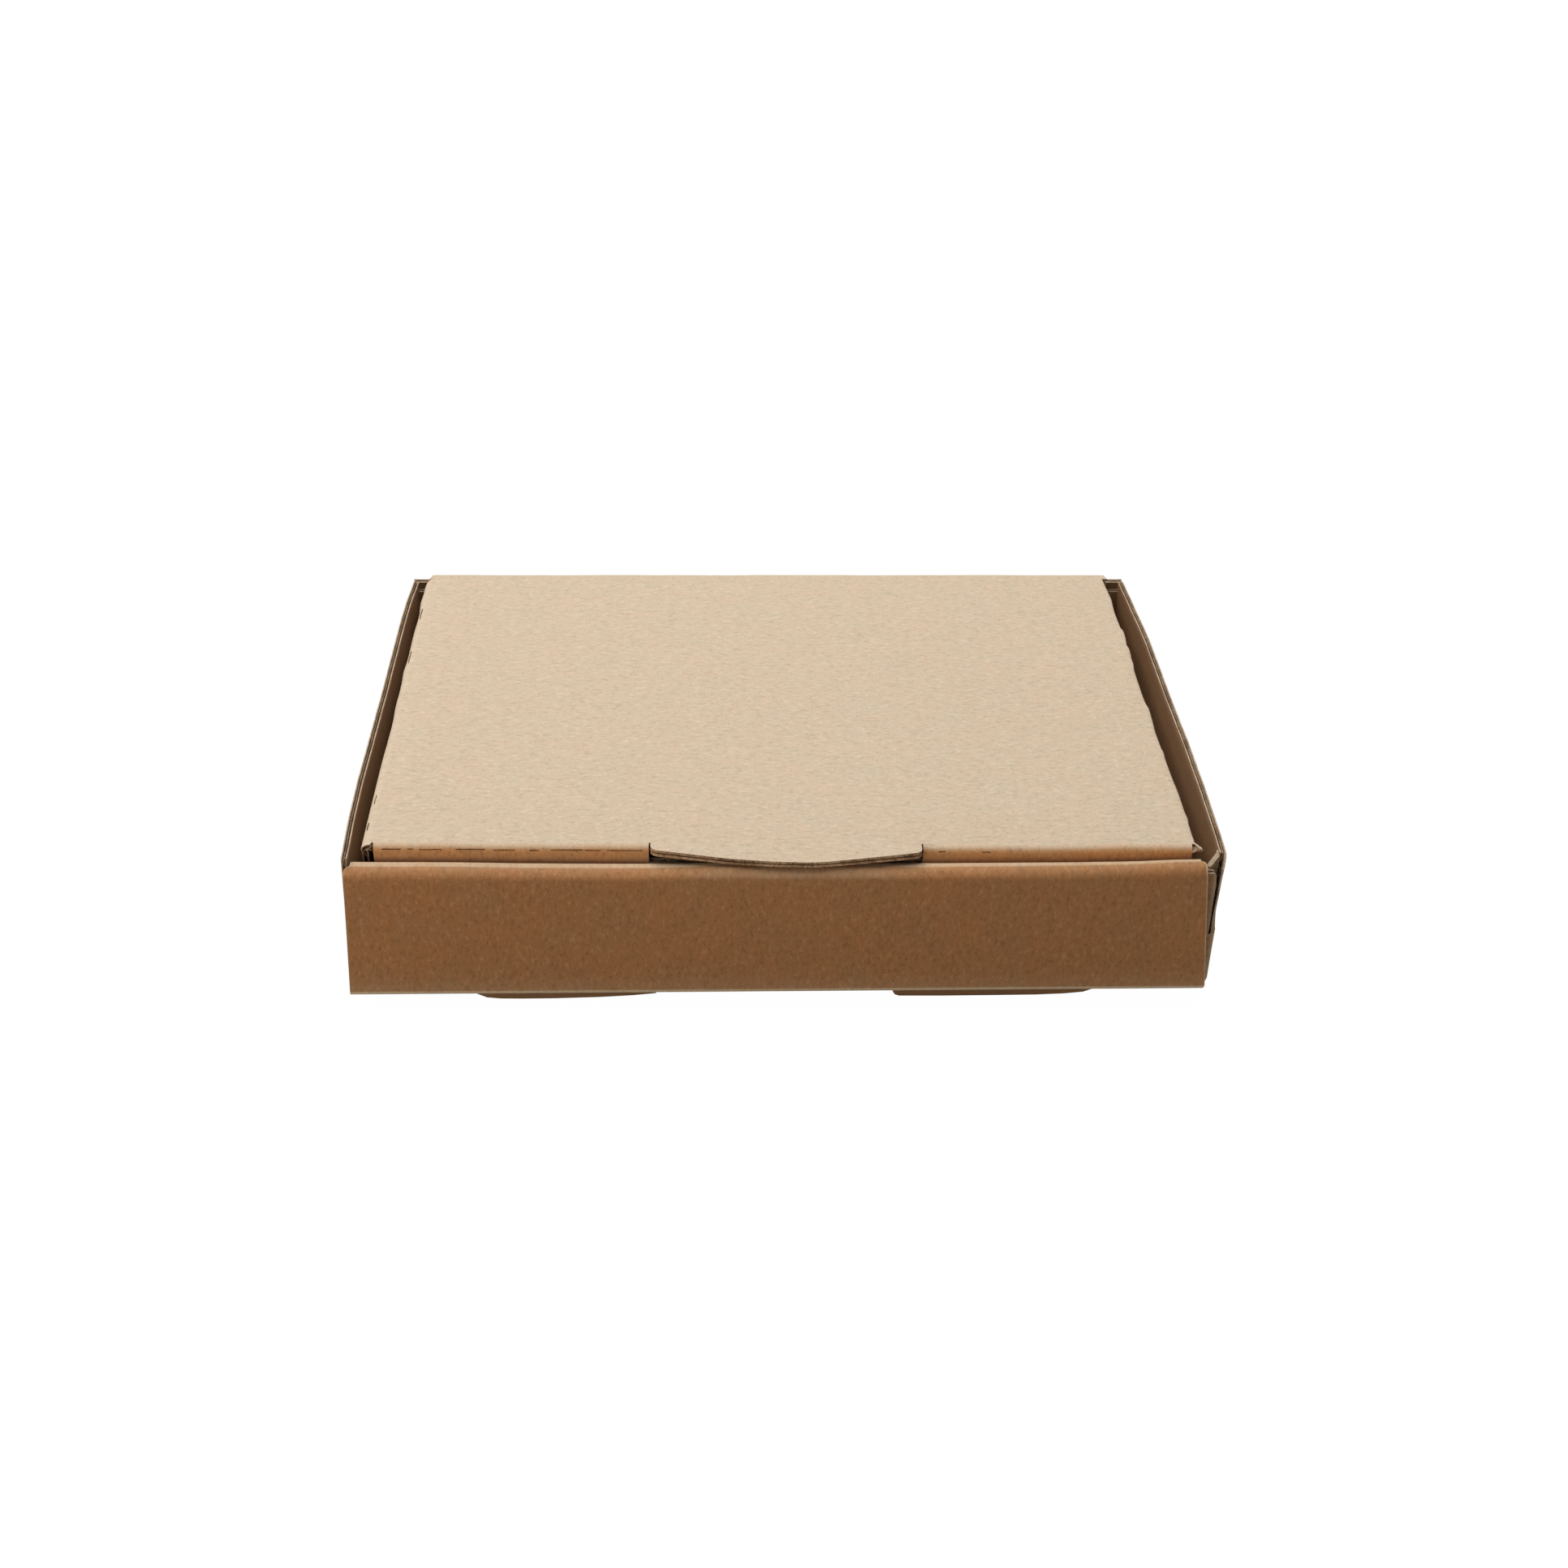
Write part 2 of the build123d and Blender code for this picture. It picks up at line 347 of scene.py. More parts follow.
@dataclass
class Finishes:
    """The papers of the box; the wall and tuck papers are copies of one kraft colour with painted
    shade and painted light.
    """

    lid_top: Paper = KraftPaper(
        "kraft_lid_top",
        warm=(0.650, 0.508, 0.369), cool=(0.612, 0.515, 0.378),
        fibre_dark=(0.430, 0.330, 0.222), fibre_light=(0.820, 0.700, 0.545),
        wear_and_highlight_colour=(0.690, 0.575, 0.440),
        cloud=0.8, fibre=0.72, streaks=(240.0, 320.0), turned=False, specular=0.3,
    )
    # The front wall's paper: a darker, warmer copy of the board's kraft colour, with the shade on
    # the front painted in.
    wall: Paper = KraftPaper(
        "kraft_wall",
        warm=(0.410, 0.185, 0.070), cool=(0.362, 0.184, 0.077),
        fibre_dark=(0.190, 0.090, 0.037), fibre_light=(0.590, 0.345, 0.180),
        wear_and_highlight_colour=(0.660, 0.520, 0.355), fibre=0.7,
    )
    side: Paper = KraftPaper(
        "kraft_side",
        warm=(0.450, 0.245, 0.115), cool=(0.405, 0.240, 0.122),
        fibre_dark=(0.225, 0.122, 0.058), fibre_light=(0.640, 0.430, 0.255),
        wear_and_highlight_colour=(0.660, 0.520, 0.370),
    )
    bend: Paper = replace(side, name="kraft_bend", wear_and_highlight_colour=(0.632, 0.507, 0.366))
    # The tuck flap's paper: a lighter copy of the wall's paper, with painted light lifting the
    # shade of the recess under the lid's front fold.
    tuck: Paper = KraftPaper(
        "kraft_tuck",
        warm=(0.700, 0.356, 0.147), cool=(0.615, 0.342, 0.155),
        fibre_dark=(0.300, 0.145, 0.058), fibre_light=(0.800, 0.500, 0.270),
        wear_and_highlight_colour=(0.640, 0.505, 0.365), cloud=0.8,
    )
    inside: Paper = KraftPaper(
        "kraft_inside",
        warm=(0.300, 0.163, 0.077), cool=(0.258, 0.152, 0.080),
        fibre_dark=(0.160, 0.086, 0.040), fibre_light=(0.420, 0.260, 0.142),
        wear_and_highlight_colour=(0.520, 0.370, 0.240),
        cloud=0.8, fibre=0.3, washboard=0.05, streaks=(240.0, 320.0), turned=False,
    )
    cut: Paper = CutPaper("cut_liner", (0.600, 0.475, 0.350), (0.390, 0.285, 0.190))
    flute: Paper = CutPaper("flute_paper", (0.400, 0.270, 0.170), (0.210, 0.130, 0.078), 1700.0)
    pressed: Paper = CutPaper("pressed_edge", (0.580, 0.385, 0.235), (0.200, 0.112, 0.055))
    # Near-black paper for the crease cuts: painted shade inside the cuts.
    slit: Paper = CutPaper("crease_slit", (0.230, 0.105, 0.040), (0.090, 0.036, 0.014), 3000.0)
    made: dict = field(default_factory=dict)

    def get(self, finish: Paper) -> bpy.types.Material:
        """The finish's material, which is made on its first use.

        Args:
            finish: one of the papers above.

        Returns:
            The material.
        """
        if finish.name not in self.made:
            self.made[finish.name] = finish.material()
        return self.made[finish.name]

    def papers(self, outside: Paper) -> list:
        """A sheet's four materials, in the order of Face."""
        return [self.get(paper) for paper in (outside, self.inside, self.cut, self.flute)]


# ---- Geometry nodes


def add_object(name: str, data: bpy.types.ID) -> bpy.types.Object:
    """Makes an object and puts it in the scene.

    Args:
        name: the object's name.
        data: its mesh, lamp or camera.

    Returns:
        The object.
    """
    made = bpy.data.objects.new(name, data)
    bpy.context.scene.collection.objects.link(made)
    return made


class PieceTree:
    """A Geometry Nodes tree that turns a guide mesh into a piece."""

    name = "piece"
    sizes: tuple = ()

    def __init__(self) -> None:
        """Builds the tree once."""
        self.tree = bpy.data.node_groups.new(self.name, "GeometryNodeTree")
        sockets = [("Guide", "Geometry"), *((size, "Float") for size in self.sizes)]
        for name, kind in (*sockets, ("Finish", "Material")):
            self.tree.interface.new_socket(name, in_out="INPUT", socket_type=f"NodeSocket{kind}")
        self.tree.interface.new_socket("Piece", in_out="OUTPUT", socket_type="NodeSocketGeometry")
        graph = Graph(self.tree)
        start = self.tree.nodes.new("NodeGroupInput")
        asked = {socket.name: Wire(graph, socket) for socket in start.outputs if socket.name}
        real = graph.node("GeometryNodeRealizeInstances", {"Geometry": self.shape(graph, asked)})
        values = {"Geometry": real, "Material": asked["Finish"]}
        graph.node("NodeGroupOutput", {0: graph.node("GeometryNodeSetMaterial", values)})

    def shape(self, graph: Graph, asked: dict) -> Wire:
        """Adds the piece's own nodes between the inputs and the finish."""
        raise NotImplementedError

    def grow(self, guide: bpy.types.Mesh, values: dict) -> bpy.types.Mesh:
        """Runs the tree on one guide mesh.

        Args:
            guide: the mesh that the tree starts from.
            values: the tree's inputs by name.

        Returns:
            The piece as a plain mesh.
        """
        carrier = add_object("carrier", guide)
        modifier = carrier.modifiers.new(self.name, "NODES")
        modifier.node_group = self.tree
        for socket in self.tree.interface.items_tree:
            if socket.name in values:
                modifier[socket.identifier] = values[socket.name]
        bpy.context.view_layer.update()
        evaluated = carrier.evaluated_get(bpy.context.evaluated_depsgraph_get())
        result = bpy.data.meshes.new_from_object(evaluated)
        bpy.data.objects.remove(carrier)
        return result


class FluteTree(PieceTree):
    """Fills a flat outline with waved paper along Y, out to where its edge cuts it."""

    name = "flutes"
    sizes = ("Pitch", "Wave Height", "Middle", "Paper", "Row Length", "Crush", "Seed")

    def shape(self, graph: Graph, asked: dict) -> Wire:
        """Adds the waved ribbon, whose rows end where rays meet the outline's walls.

        Args:
            graph: the tree's graph.
            asked: the tree's inputs by name.

        Returns:
            The waved paper.
        """
        low = graph.node("GeometryNodeBoundBox", {0: asked["Guide"]}, output="Min")
        low_x, low_y, _ = graph.parts(low)
        high_x, high_y, _ = graph.parts(low.out("Max"))
        width = high_x - low_x - 0.5
        values = {
            "Size X": width,
            "Size Y": 1.0,
            "Vertices X": width / asked["Pitch"] * 8.0 + 2.0,
            "Vertices Y": (high_y - low_y) / asked["Row Length"] + 2.0,
        }
        ribbon = graph.node("GeometryNodeMeshGrid", values, output="Mesh")
        here_x, here_y, _ = graph.parts(graph.node("GeometryNodeInputPosition", {}))
        across = here_x + (low_x + high_x) * 0.5

        by_faces = {"mode": "FACES"}
        values = {"Mesh": asked["Guide"], "Offset": (0.0, 0.0, 1.0), "Offset Scale": 8.0}
        values["Individual"] = False
        rim_walls = graph.node("GeometryNodeExtrudeMesh", values, by_faces, "Mesh")
        ends = []
        for edge, way in ((low_y - 50.0, 1.0), (high_y + 50.0, -1.0)):
            values = {
                "Target Geometry": rim_walls,
                "Source Position": graph.vector(across, edge, 2.0),
                "Ray Direction": (0.0, way, 0.0),
                "Ray Length": 1000.0,
            }
            hit = graph.node("GeometryNodeRaycast", values, output="Hit Position")
            ends.append(graph.parts(hit)[1])
        along = ends[0] + (ends[1] - ends[0]) * (here_y + 0.5)

        spot = graph.vector(across, along, asked["Seed"])
        noise = graph.node("ShaderNodeTexNoise", {"Vector": spot, "Scale": 0.35, "Detail": 1.0})
        turn = across * (2 * math.pi) / asked["Pitch"] + (noise - 0.5) * 1.6
        wave = turn.sine() * (asked["Wave Height"] - asked["Crush"] * noise)
        place = graph.vector(across, along, asked["Middle"] + wave)
        waved = graph.node("GeometryNodeSetPosition", {"Geometry": ribbon, "Position": place})

        values = {"Mesh": waved, "Offset Scale": asked["Paper"], "Individual": False}
        front = graph.node("GeometryNodeExtrudeMesh", values, by_faces, "Mesh")
        back = graph.node("GeometryNodeFlipFaces", {"Mesh": waved})
        joined = self.tree.nodes.new("GeometryNodeJoinGeometry")
        for part in (front, back):
            self.tree.links.new(part.socket, joined.inputs[0])
        values = {"Geometry": Wire(graph, joined.outputs[0]), "Distance": 0.0005}
        return graph.node("GeometryNodeMergeByDistance", values)


class SlitTree(PieceTree):
    """Sweeps a small lens-shaped cut along each guide line."""

    name = "slits"
    sizes = ("Cut Width",)

    def shape(self, graph: Graph, asked: dict) -> Wire:
        """Adds the sweep, which narrows to both ends.

        Args:
            graph: the tree's graph.
            asked: the tree's inputs by name.

        Returns:
            The cuts.
        """
        line = graph.node("GeometryNodeMeshToCurve", {0: asked["Guide"]})
        line = graph.node("GeometryNodeResampleCurve", {"Curve": line, "Count": 9})
        share = graph.node("GeometryNodeSplineParameter", {}, output="Factor")
        taper = ((share * math.pi).sine() + 0.02) ** 0.6
        line = graph.node("GeometryNodeSetCurveRadius", {"Curve": line, "Radius": taper})
        values = {"Resolution": 6, "Radius": asked["Cut Width"]}
        profile = graph.node("GeometryNodeCurvePrimitiveCircle", values)
        values = {"Curve": line, "Profile Curve": profile, "Fill Caps": True}
        return graph.node("GeometryNodeCurveToMesh", values)


def tidy_normals(mesh: bpy.types.Mesh, sharp_degrees: float) -> None:
    """Merges doubles, turns the faces outward and shades smooth between sharp edges.

    Args:
        mesh: the mesh that is changed.
        sharp_degrees: the angle from which an edge is sharp.
    """
    work = bmesh.new()
    work.from_mesh(mesh)
    bmesh.ops.remove_doubles(work, verts=work.verts, dist=1e-7)
    bmesh.ops.dissolve_degenerate(work, edges=work.edges, dist=1e-8)
    bmesh.ops.recalc_face_normals(work, faces=work.faces)
    work.to_mesh(mesh)
    work.free()
    mesh.polygons.foreach_set("use_smooth", [True] * len(mesh.polygons))
    mesh.set_sharp_from_angle(angle=math.radians(sharp_degrees))


# ---- Lines, paths and sheets


def ramp(value: Array, low: float, high: float) -> Array:
    """How far a value is from low to high, from 0 to 1."""
    return np.clip((value - low) / (high - low), 0, 1)


def table(points: Sequence, at: Array) -> Array:
    """The value at these places of (place, value) pairs, with straight lines between them."""
    return np.interp(at, [point[0] for point in points], [point[1] for point in points])


def rounding(radius: float, near: float) -> float:
    """How far a rounded corner draws an edge back, this near to its end."""
    left = max(0.0, radius - near)
    return radius - math.sqrt(max(0.0, radius**2 - left**2))


def smooth_line(points: Sequence) -> Callable[[Array], Array]:
    """A smooth curve through a few measured points.

    Args:
        points: (place, value) pairs in rising order of place.

    Returns:
        A function from places to values.
    """
    x, y = np.array(points, float).T
    slope = np.gradient(y, x)

    def value(at: Array) -> Array:
        """The curve's value at these places."""
        t = np.clip(np.asarray(at, float), x[0], x[-1])
        i = np.clip(np.searchsorted(x, t) - 1, 0, len(x) - 2)
        h = x[i + 1] - x[i]
        s = (t - x[i]) / h
        return (
            (2 * s**3 - 3 * s**2 + 1) * y[i]
            + (s**3 - 2 * s**2 + s) * h * slope[i]
            + (-2 * s**3 + 3 * s**2) * y[i + 1]
            + (s**3 - s**2) * h * slope[i + 1]
        )

    return value


def ripple(x: Array, seed: float, longest: float) -> Array:
    """Smooth irregular waves of about -1 to 1.

    Args:
        x: places along an edge, in millimetres.
        seed: gives each edge its own waves.
        longest: the longest wave, in millimetres.

    Returns:
        The waves' heights.
    """
    total = np.zeros_like(np.asarray(x, float))
    for k, share in ((1.0, 0.5), (2.3, 0.3), (5.1, 0.2)):
        total = total + share * np.sin(2 * math.pi * k * x / longest + seed * (1.7 + k))
    return total


def rows_between(values: Sequence[float], step: float) -> list:
    """The values with more between them, so that no gap is longer than a step.

    Args:
        values: rising values that are kept.
        step: the longest gap.

    Returns:
        The filled list.
    """
    filled = [values[0]]
    for a, b in zip(values, values[1:]):
        pieces = max(1, int(math.ceil((b - a) / step)))
        filled += [a + (b - a) * (k + 1) / pieces for k in range(pieces)]
    return filled


def row_grid(
    rows: Sequence[float], left: Callable, right: Callable, inner: Sequence[float]
) -> Array:
    """A grid whose rows go from a left edge to a right edge, with a column close to each.

    Args:
        rows: places along the flutes.
        left: the left edge at a row.
        right: the right edge at a row.
        inner: places across that every row keeps, clipped to its edges.

    Returns:
        The grid of (across, along).
    """
    grid = []
    for v in rows:
        a, b = float(left(v)), float(right(v))
        low, high = a + 0.3, b - 0.3
        middle = [min(max(u, low), high) for u in inner]
        grid.append([(u, v) for u in (a, low, *middle, high, b)])
    return np.array(grid)


class FoldPath:
    """The line that a sheet's outer face follows across its folds, in one plane."""

    def __init__(self, start: tuple, heading: float, outward: int) -> None:
        """Starts the line.

        Args:
            start: its first point.
            heading: its direction, in degrees.
            outward: 1 if the outer face is on the line's left, -1 if on its right.
        """
        self.outward = outward
        self.length, self.creases = [0.0], [0.0]
        self.points, self.headings = [start], [heading]

    def _step(self, chord: float, arc: float, degrees: float, crease: float) -> None:
        """Adds one row.

        Args:
            chord: how far it is in a straight line.
            arc: how far it is along the sheet.
            degrees: how far the line turns on the way.
            crease: how creased the sheet is there.
        """
        p, q = self.points[-1]
        angle = math.radians(self.headings[-1] + degrees / 2)
        self.points.append((p + chord * math.cos(angle), q + chord * math.sin(angle)))
        self.length.append(self.length[-1] + arc)
        self.headings.append(self.headings[-1] + degrees)
        self.creases.append(crease)

    def run(self, distance: float, step: float = 6.0) -> "FoldPath":
        """Goes straight on.

        Args:
            distance: how far.
            step: the longest piece between two rows of the mesh.

        Returns:
            The path itself.
        """
        pieces = max(1, int(math.ceil(distance / step)))
        for _ in range(pieces):
            self._step(distance / pieces, distance / pieces, 0.0, 0.0)
        return self

    def turn(self, degrees: float, radius: float, steps: int = 6) -> "FoldPath":
        """Turns at a fold.

        Args:
            degrees: how far it turns, positive to the left.
            radius: the outer face's radius.
            steps: how many pieces the fold has.

        Returns:
            The path itself.
        """
        each = degrees / steps
        half = math.radians(abs(each)) / 2
        for i in range(steps):
            crease = math.sin(math.pi * (i + 1) / (steps + 1))
            self._step(2 * radius * math.sin(half), 2 * half * radius, each, crease)
        return self

    def at(self, v: Array) -> tuple:
        """The outer face at distances along the path.

        Args:
            v: distances, in millimetres.

        Returns:
            Both coordinates, both parts of the outward normal, and how creased it is.
        """
        heading = np.radians(np.interp(v, self.length, self.headings))
        p, q = (np.interp(v, self.length, line) for line in zip(*self.points))
        crease = np.interp(v, self.length, self.creases)
        return p, q, -np.sin(heading) * self.outward, np.cos(heading) * self.outward, crease

    def spot(self, v: float) -> tuple:
        """The same at one distance, as plain numbers."""
        return tuple(float(value[0]) for value in self.at(np.array([v])))


@dataclass
class Sheet:
    """A panel of the board: a flat grid of places that is bent into the box.

    The grid holds (across the flutes, along the flutes) in millimetres.
    """

    name: str
    grid: Array
    place: Placing
    # How pale each point is: wear, and painted highlight on faces turned up to the light
    scuff: Optional[Array] = None
    skip: Optional[Callable[[float, float], bool]] = None
    fluted: bool = True
    flute_row: float = 12.0
    liners: tuple = (True, True)
    liner: float = BOARD.liner
    thickness: float = BOARD.thickness
    map_start: tuple = (0.0, 0.0)

    def _flat(self) -> tuple:
        """The grid's points and faces, with doubles merged and skipped cells left out.

        Returns:
            Points, faces by point number, and each point's scuff.
        """
        rows, columns = self.grid.shape[:2]
        scuff = np.zeros((rows, columns)) if self.scuff is None else self.scuff
        number, wear_and_highlight_marks, faces = {}, [], []
        index = np.zeros((rows, columns), int)
        for j, i in np.ndindex(rows, columns):
            key = (round(self.grid[j, i, 0], 4), round(self.grid[j, i, 1], 4))
            if key not in number:
                number[key] = len(number)
                wear_and_highlight_marks.append(scuff[j, i])
            index[j, i] = number[key]
        points = np.array(list(number))
        for j, i in np.ndindex(rows - 1, columns - 1):
            ring = [index[j, i], index[j, i + 1], index[j + 1, i + 1], index[j + 1, i]]
            ring = [a for k, a in enumerate(ring) if a != ring[k - 1]]
            if len(set(ring)) < 3 or (self.skip and self.skip(*points[ring].mean(0))):
                continue
            faces.append(ring)
        return points, faces, np.array(wear_and_highlight_marks)

    def _outline(self, points: Array, rim: list) -> bpy.types.Mesh:
        """The flat outline as one face for the flute tree.

        Args:
            points: the flat points.
            rim: the sheet's rim edges.

        Returns:
            A flat mesh in millimetres.
        """
        after = dict(rim)
        loops, left = [], set(after)
        while left:
            here = min(left)
            loops.append([])
            while here in left:
                left.discard(here)
                loops[-1].append(here)
                here = after[here]
        flat = [(*points[a], 0.0) for a in max(loops, key=len)]
        mesh = bpy.data.meshes.new(self.name + "_outline")
        mesh.from_pydata(flat, [], [list(range(len(flat)))])
        mesh.update()
        if mesh.polygons[0].normal.z < 0:
            mesh.flip_normals()
        return mesh

    def _waved(self, outline: bpy.types.Mesh, flutes: FluteTree, paper: object) -> tuple:
        """The waved paper between the liners, still flat.

        Args:
            outline: the sheet's flat outline.
            flutes: the tree that makes the waved paper.
            paper: the waved paper's material.

        Returns:
            Its points and its faces.
        """
        values = {
            "Pitch": BOARD.pitch,
            "Wave Height": (self.thickness - 2 * self.liner - BOARD.paper) / 2,
            "Middle": self.thickness / 2,
            "Paper": BOARD.paper,
            "Row Length": self.flute_row,
            "Crush": BOARD.crush,
            "Seed": float(len(self.name)),
            "Finish": paper,
        }
        grown = flutes.grow(outline, values)
        points = np.array([tuple(vertex.co) for vertex in grown.vertices]).reshape(-1, 3)
        longest = 1.7 * self.flute_row + 0.3
        rings = [list(face.vertices) for face in grown.polygons]
        rings = [ring for ring in rings if np.ptp(points[ring, 1]) < longest]
        if self.skip:
            rings = [ring for ring in rings if not self.skip(*points[ring].mean(0)[:2])]
        return points, rings

    def build(self, flutes: FluteTree, papers: Sequence[bpy.types.Material]) -> bpy.types.Object:
        """Makes the sheet's liners and flutes in their place in the box.

        Args:
            flutes: the tree that makes the waved paper.
            papers: the sheet's four materials, in the order of Face.

        Returns:
            The sheet's object, at the origin.
        """
        points, faces, wear_and_highlight_marks = self._flat()
        edges = {(ring[k - 1], a): True for ring in faces for k, a in enumerate(ring)}
        rim = [(a, b) for a, b in edges if (b, a) not in edges]
        verts, polys, mats, uvs, wear_and_highlight_values = [], [], [], [], []

        def add(flat: Array, depth: Array, rings: list, paper: Face, wear: Array) -> int:
            """Adds placed points and their faces.

            Args:
                flat: flat points.
                depth: each point's depth below the outer face.
                rings: faces by point number.
                paper: the faces' material.
                wear: each point's wear and painted highlight.

            Returns:
                The number of the first point.
            """
            first = len(verts)
            verts.extend(map(tuple, self.place(flat[:, 0], flat[:, 1], depth) * MM))
            wear_and_highlight_values.extend(wear)
            uvs.extend((flat + self.map_start) * MM)
            polys.extend([first + a for a in ring] for ring in rings)
            mats.extend([paper.value] * len(rings))
            return first

        layers = [
            (0.0, self.liner, Face.OUTSIDE, Face.CUT),
            (self.thickness - self.liner, self.thickness, Face.CUT, Face.INSIDE),
        ]
        one = np.ones(len(points))
        for (top, bottom, top_paper, bottom_paper), kept in zip(layers, self.liners):
            if kept:
                a = add(points, one * top, faces, top_paper, wear_and_highlight_marks)
                b = add(points, one * bottom, [f[::-1] for f in faces], bottom_paper, wear_and_highlight_marks)
                polys.extend([a + q, a + p, b + p, b + q] for p, q in rim)
                mats.extend([Face.CUT.value] * len(rim))
        if self.fluted:
            outline = self._outline(points, rim)
            paper, rings = self._waved(outline, flutes, papers[Face.FLUTE.value])
            add(paper[:, :2], paper[:, 2], rings, Face.FLUTE, np.zeros(len(paper)))

        mesh = bpy.data.meshes.new(self.name)
        mesh.from_pydata(verts, [], polys)
        mesh.polygons.foreach_set("material_index", mats)
        owner = np.zeros(len(mesh.loops), int)
        mesh.loops.foreach_get("vertex_index", owner)
        mesh.uv_layers.new(name="sheet").data.foreach_set("uv", np.array(uvs)[owner].ravel())
        # The attribute that the kraft papers read for wear and painted highlight.
        attribute = mesh.attributes.new("scuff", "FLOAT", "POINT")
        attribute.data.foreach_set("value", np.array(wear_and_highlight_values, np.float32))
        for paper in papers:
            mesh.materials.append(paper)
        tidy_normals(mesh, 38.0)
        return add_object(self.name, mesh)


# ---- The tray


@dataclass
class FrontWall:
    """The double front wall: up the outside, over the roll, down the inside, with lock tabs."""

    front_y: float = -54.0
    height: float = 26.3
    fold_radius: float = 0.8
    roll_radius: float = 2.1
    thickness: float = 4.7
    bottom_edges: tuple = (-76.65, 76.6)
    top_edges: tuple = (-75.55, 74.1)
    roll_from: float = 23.5
    corner_cut: float = 0.85
    foot_rounding: float = 1.6
    inner_half_width: float = 74.2

    # How far the roll sags along its length, and the outlines of the two lock tabs
    roll_drop: tuple = (
        (-76.0, 0.55), (-57.0, 0.66), (-44.0, 0.9), (-29.0, 1.05), (-19.0, 1.0), (-9.0, 0.4),
        (10.0, 0.35), (20.0, 0.85), (27.0, 0.92), (41.0, 0.82), (48.0, 0.75), (55.0, 0.62),
        (62.0, 0.48), (69.0, 0.05), (74.0, -0.1),
    )
    left_tab: tuple = (
        (21.0, 0.4), (21.2, -1.9), (21.9, -2.75), (26.0, -3.15), (32.0, -3.5), (40.0, -3.8),
        (46.0, -3.88), (50.0, -3.85), (52.4, -3.6), (54.6, -2.7), (55.9, -1.4), (56.4, 0.4),
    )
    right_tab: tuple = (
        (20.9, 0.4), (21.0, -2.7), (21.4, -3.4), (22.2, -3.7), (30.0, -3.7), (40.0, -3.57),
        (47.0, -3.45), (52.0, -3.2), (55.5, -2.8), (57.2, -2.1), (58.0, -1.1), (58.3, 0.4),
    )

    def path(self) -> FoldPath:
        """The outer face's section, from under the base to the bottom of the inner panel.

        Returns:
            The path in (depth, height).
        """
        under, strip = 2.0, 0.25
        path = FoldPath((self.front_y + under, 0.0), 180.0, 1)
        path.run(under - self.fold_radius).turn(-90.0, self.fold_radius)
        path.run(strip).run(self.height - self.fold_radius - self.roll_radius - strip, 3.0)
        path.turn(-90.0, self.roll_radius, 8)
        path.run(self.thickness - 2 * self.roll_radius, 0.8).turn(-90.0, self.roll_radius, 8)
        return path.run(self.height - self.roll_radius - BOARD.thickness - 0.1)

    def place(self, u: Array, v: Array, depth: Array) -> Array:
        """Bends the sheet over the roll, with the slight twist of the real one.

        Args:
            u: across.
            v: along the path.
            depth: below the outer face.

        Returns:
            Points in millimetres.
        """
        y, z, normal_y, normal_z, crease = self.path().at(v)
        depth = depth * (1 - 0.25 * crease)
        y, z = y - normal_y * depth, z - normal_z * depth
        share = np.clip(z / self.height, 0, 1)
        along = u / 76.0
        twist = (1 - share) * (-0.65 + 0.75 * along) + share * (-0.1 + 0.3 * along)
        z = z + twist * ramp(y, -49.6, -51.6) * np.where(y < -50.6, 1.0, 0.6)
        drop = table(self.roll_drop, u) - 0.04 * ripple(u, 1.0, 55.0)
        z = z - drop * ramp(z, self.roll_from, self.height)
        swell = np.clip(1 - abs(z - 13) / 12, 0, 1) * (y < -51)
        y = y + 0.12 * (1 + ripple(u, 2.2, 90.0)) * swell
        return np.stack([u, y, z], axis=1)

    def edge(self, v: float, side: Side) -> float:
        """The panel's side edge at a place along the path, cut back over the roll.

        Args:
            v: along the path.
            side: which edge.

        Returns:
            Its place across.
        """
        y, z, back, up, _ = self.path().spot(v)
        which = 0 if side is Side.LEFT else 1
        if y < -51.7:
            share = min(max(z / (self.height - self.corner_cut), 0), 1)
            edge = self.bottom_edges[which] * (1 - share) + self.top_edges[which] * share
            angle = math.degrees(math.atan2(up, -back)) if z > self.height / 2 else 0.0
            over = float(ramp(angle, 74.0, 116.0)) ** 1.2 * self.corner_cut
            if side is Side.RIGHT:
                over += 0.9 / self.foot_rounding * rounding(self.foot_rounding, z)
            return edge - side.value * over
        share = min(max((self.height - z) / 2.5, 0), 1)
        top = side.value * (abs(self.top_edges[which]) - self.corner_cut)
        return top * (1 - share) + side.value * self.inner_half_width * share

    def sheets(self) -> list:
        """The wall, paler along its bottom fold, its side edges and its foot, with a painted
        highlight along its roll and painted light under the thumb tab, and its two lock tabs.

        Returns:
            Three sheets.
        """
        path = self.path()
        left, right = (lambda v, side=side: self.edge(v, side) for side in Side)
        grid = row_grid(path.length, left, right, np.arange(-72.0, 72.1, 3.0))
        across = grid[:, :, 0].ravel()
        y, z, _, facing_up, _ = path.at(grid[:, :, 1].ravel())
        # Painted highlight along the top of the roll, where the faces turn up to the light.
        painted_roll_highlight = 0.1 * ramp(facing_up, 0.8, 1.0) ** 2.2 * (y < -49.6)
        painted_roll_highlight = np.where((y > -51.5) & (y < -50.0) & (facing_up > 0.6), 0.75, painted_roll_highlight)
        # Painted light on the roll under the thumb tab, lifting the tab's shadow.
        painted_light_under_tab = 0.3 * np.clip(1 - ((across - 3.0) / 21.0) ** 2, 0, 1)
        painted_light_under_tab = painted_light_under_tab * ramp(facing_up, 0.15, 0.45) * (y < -51.9)
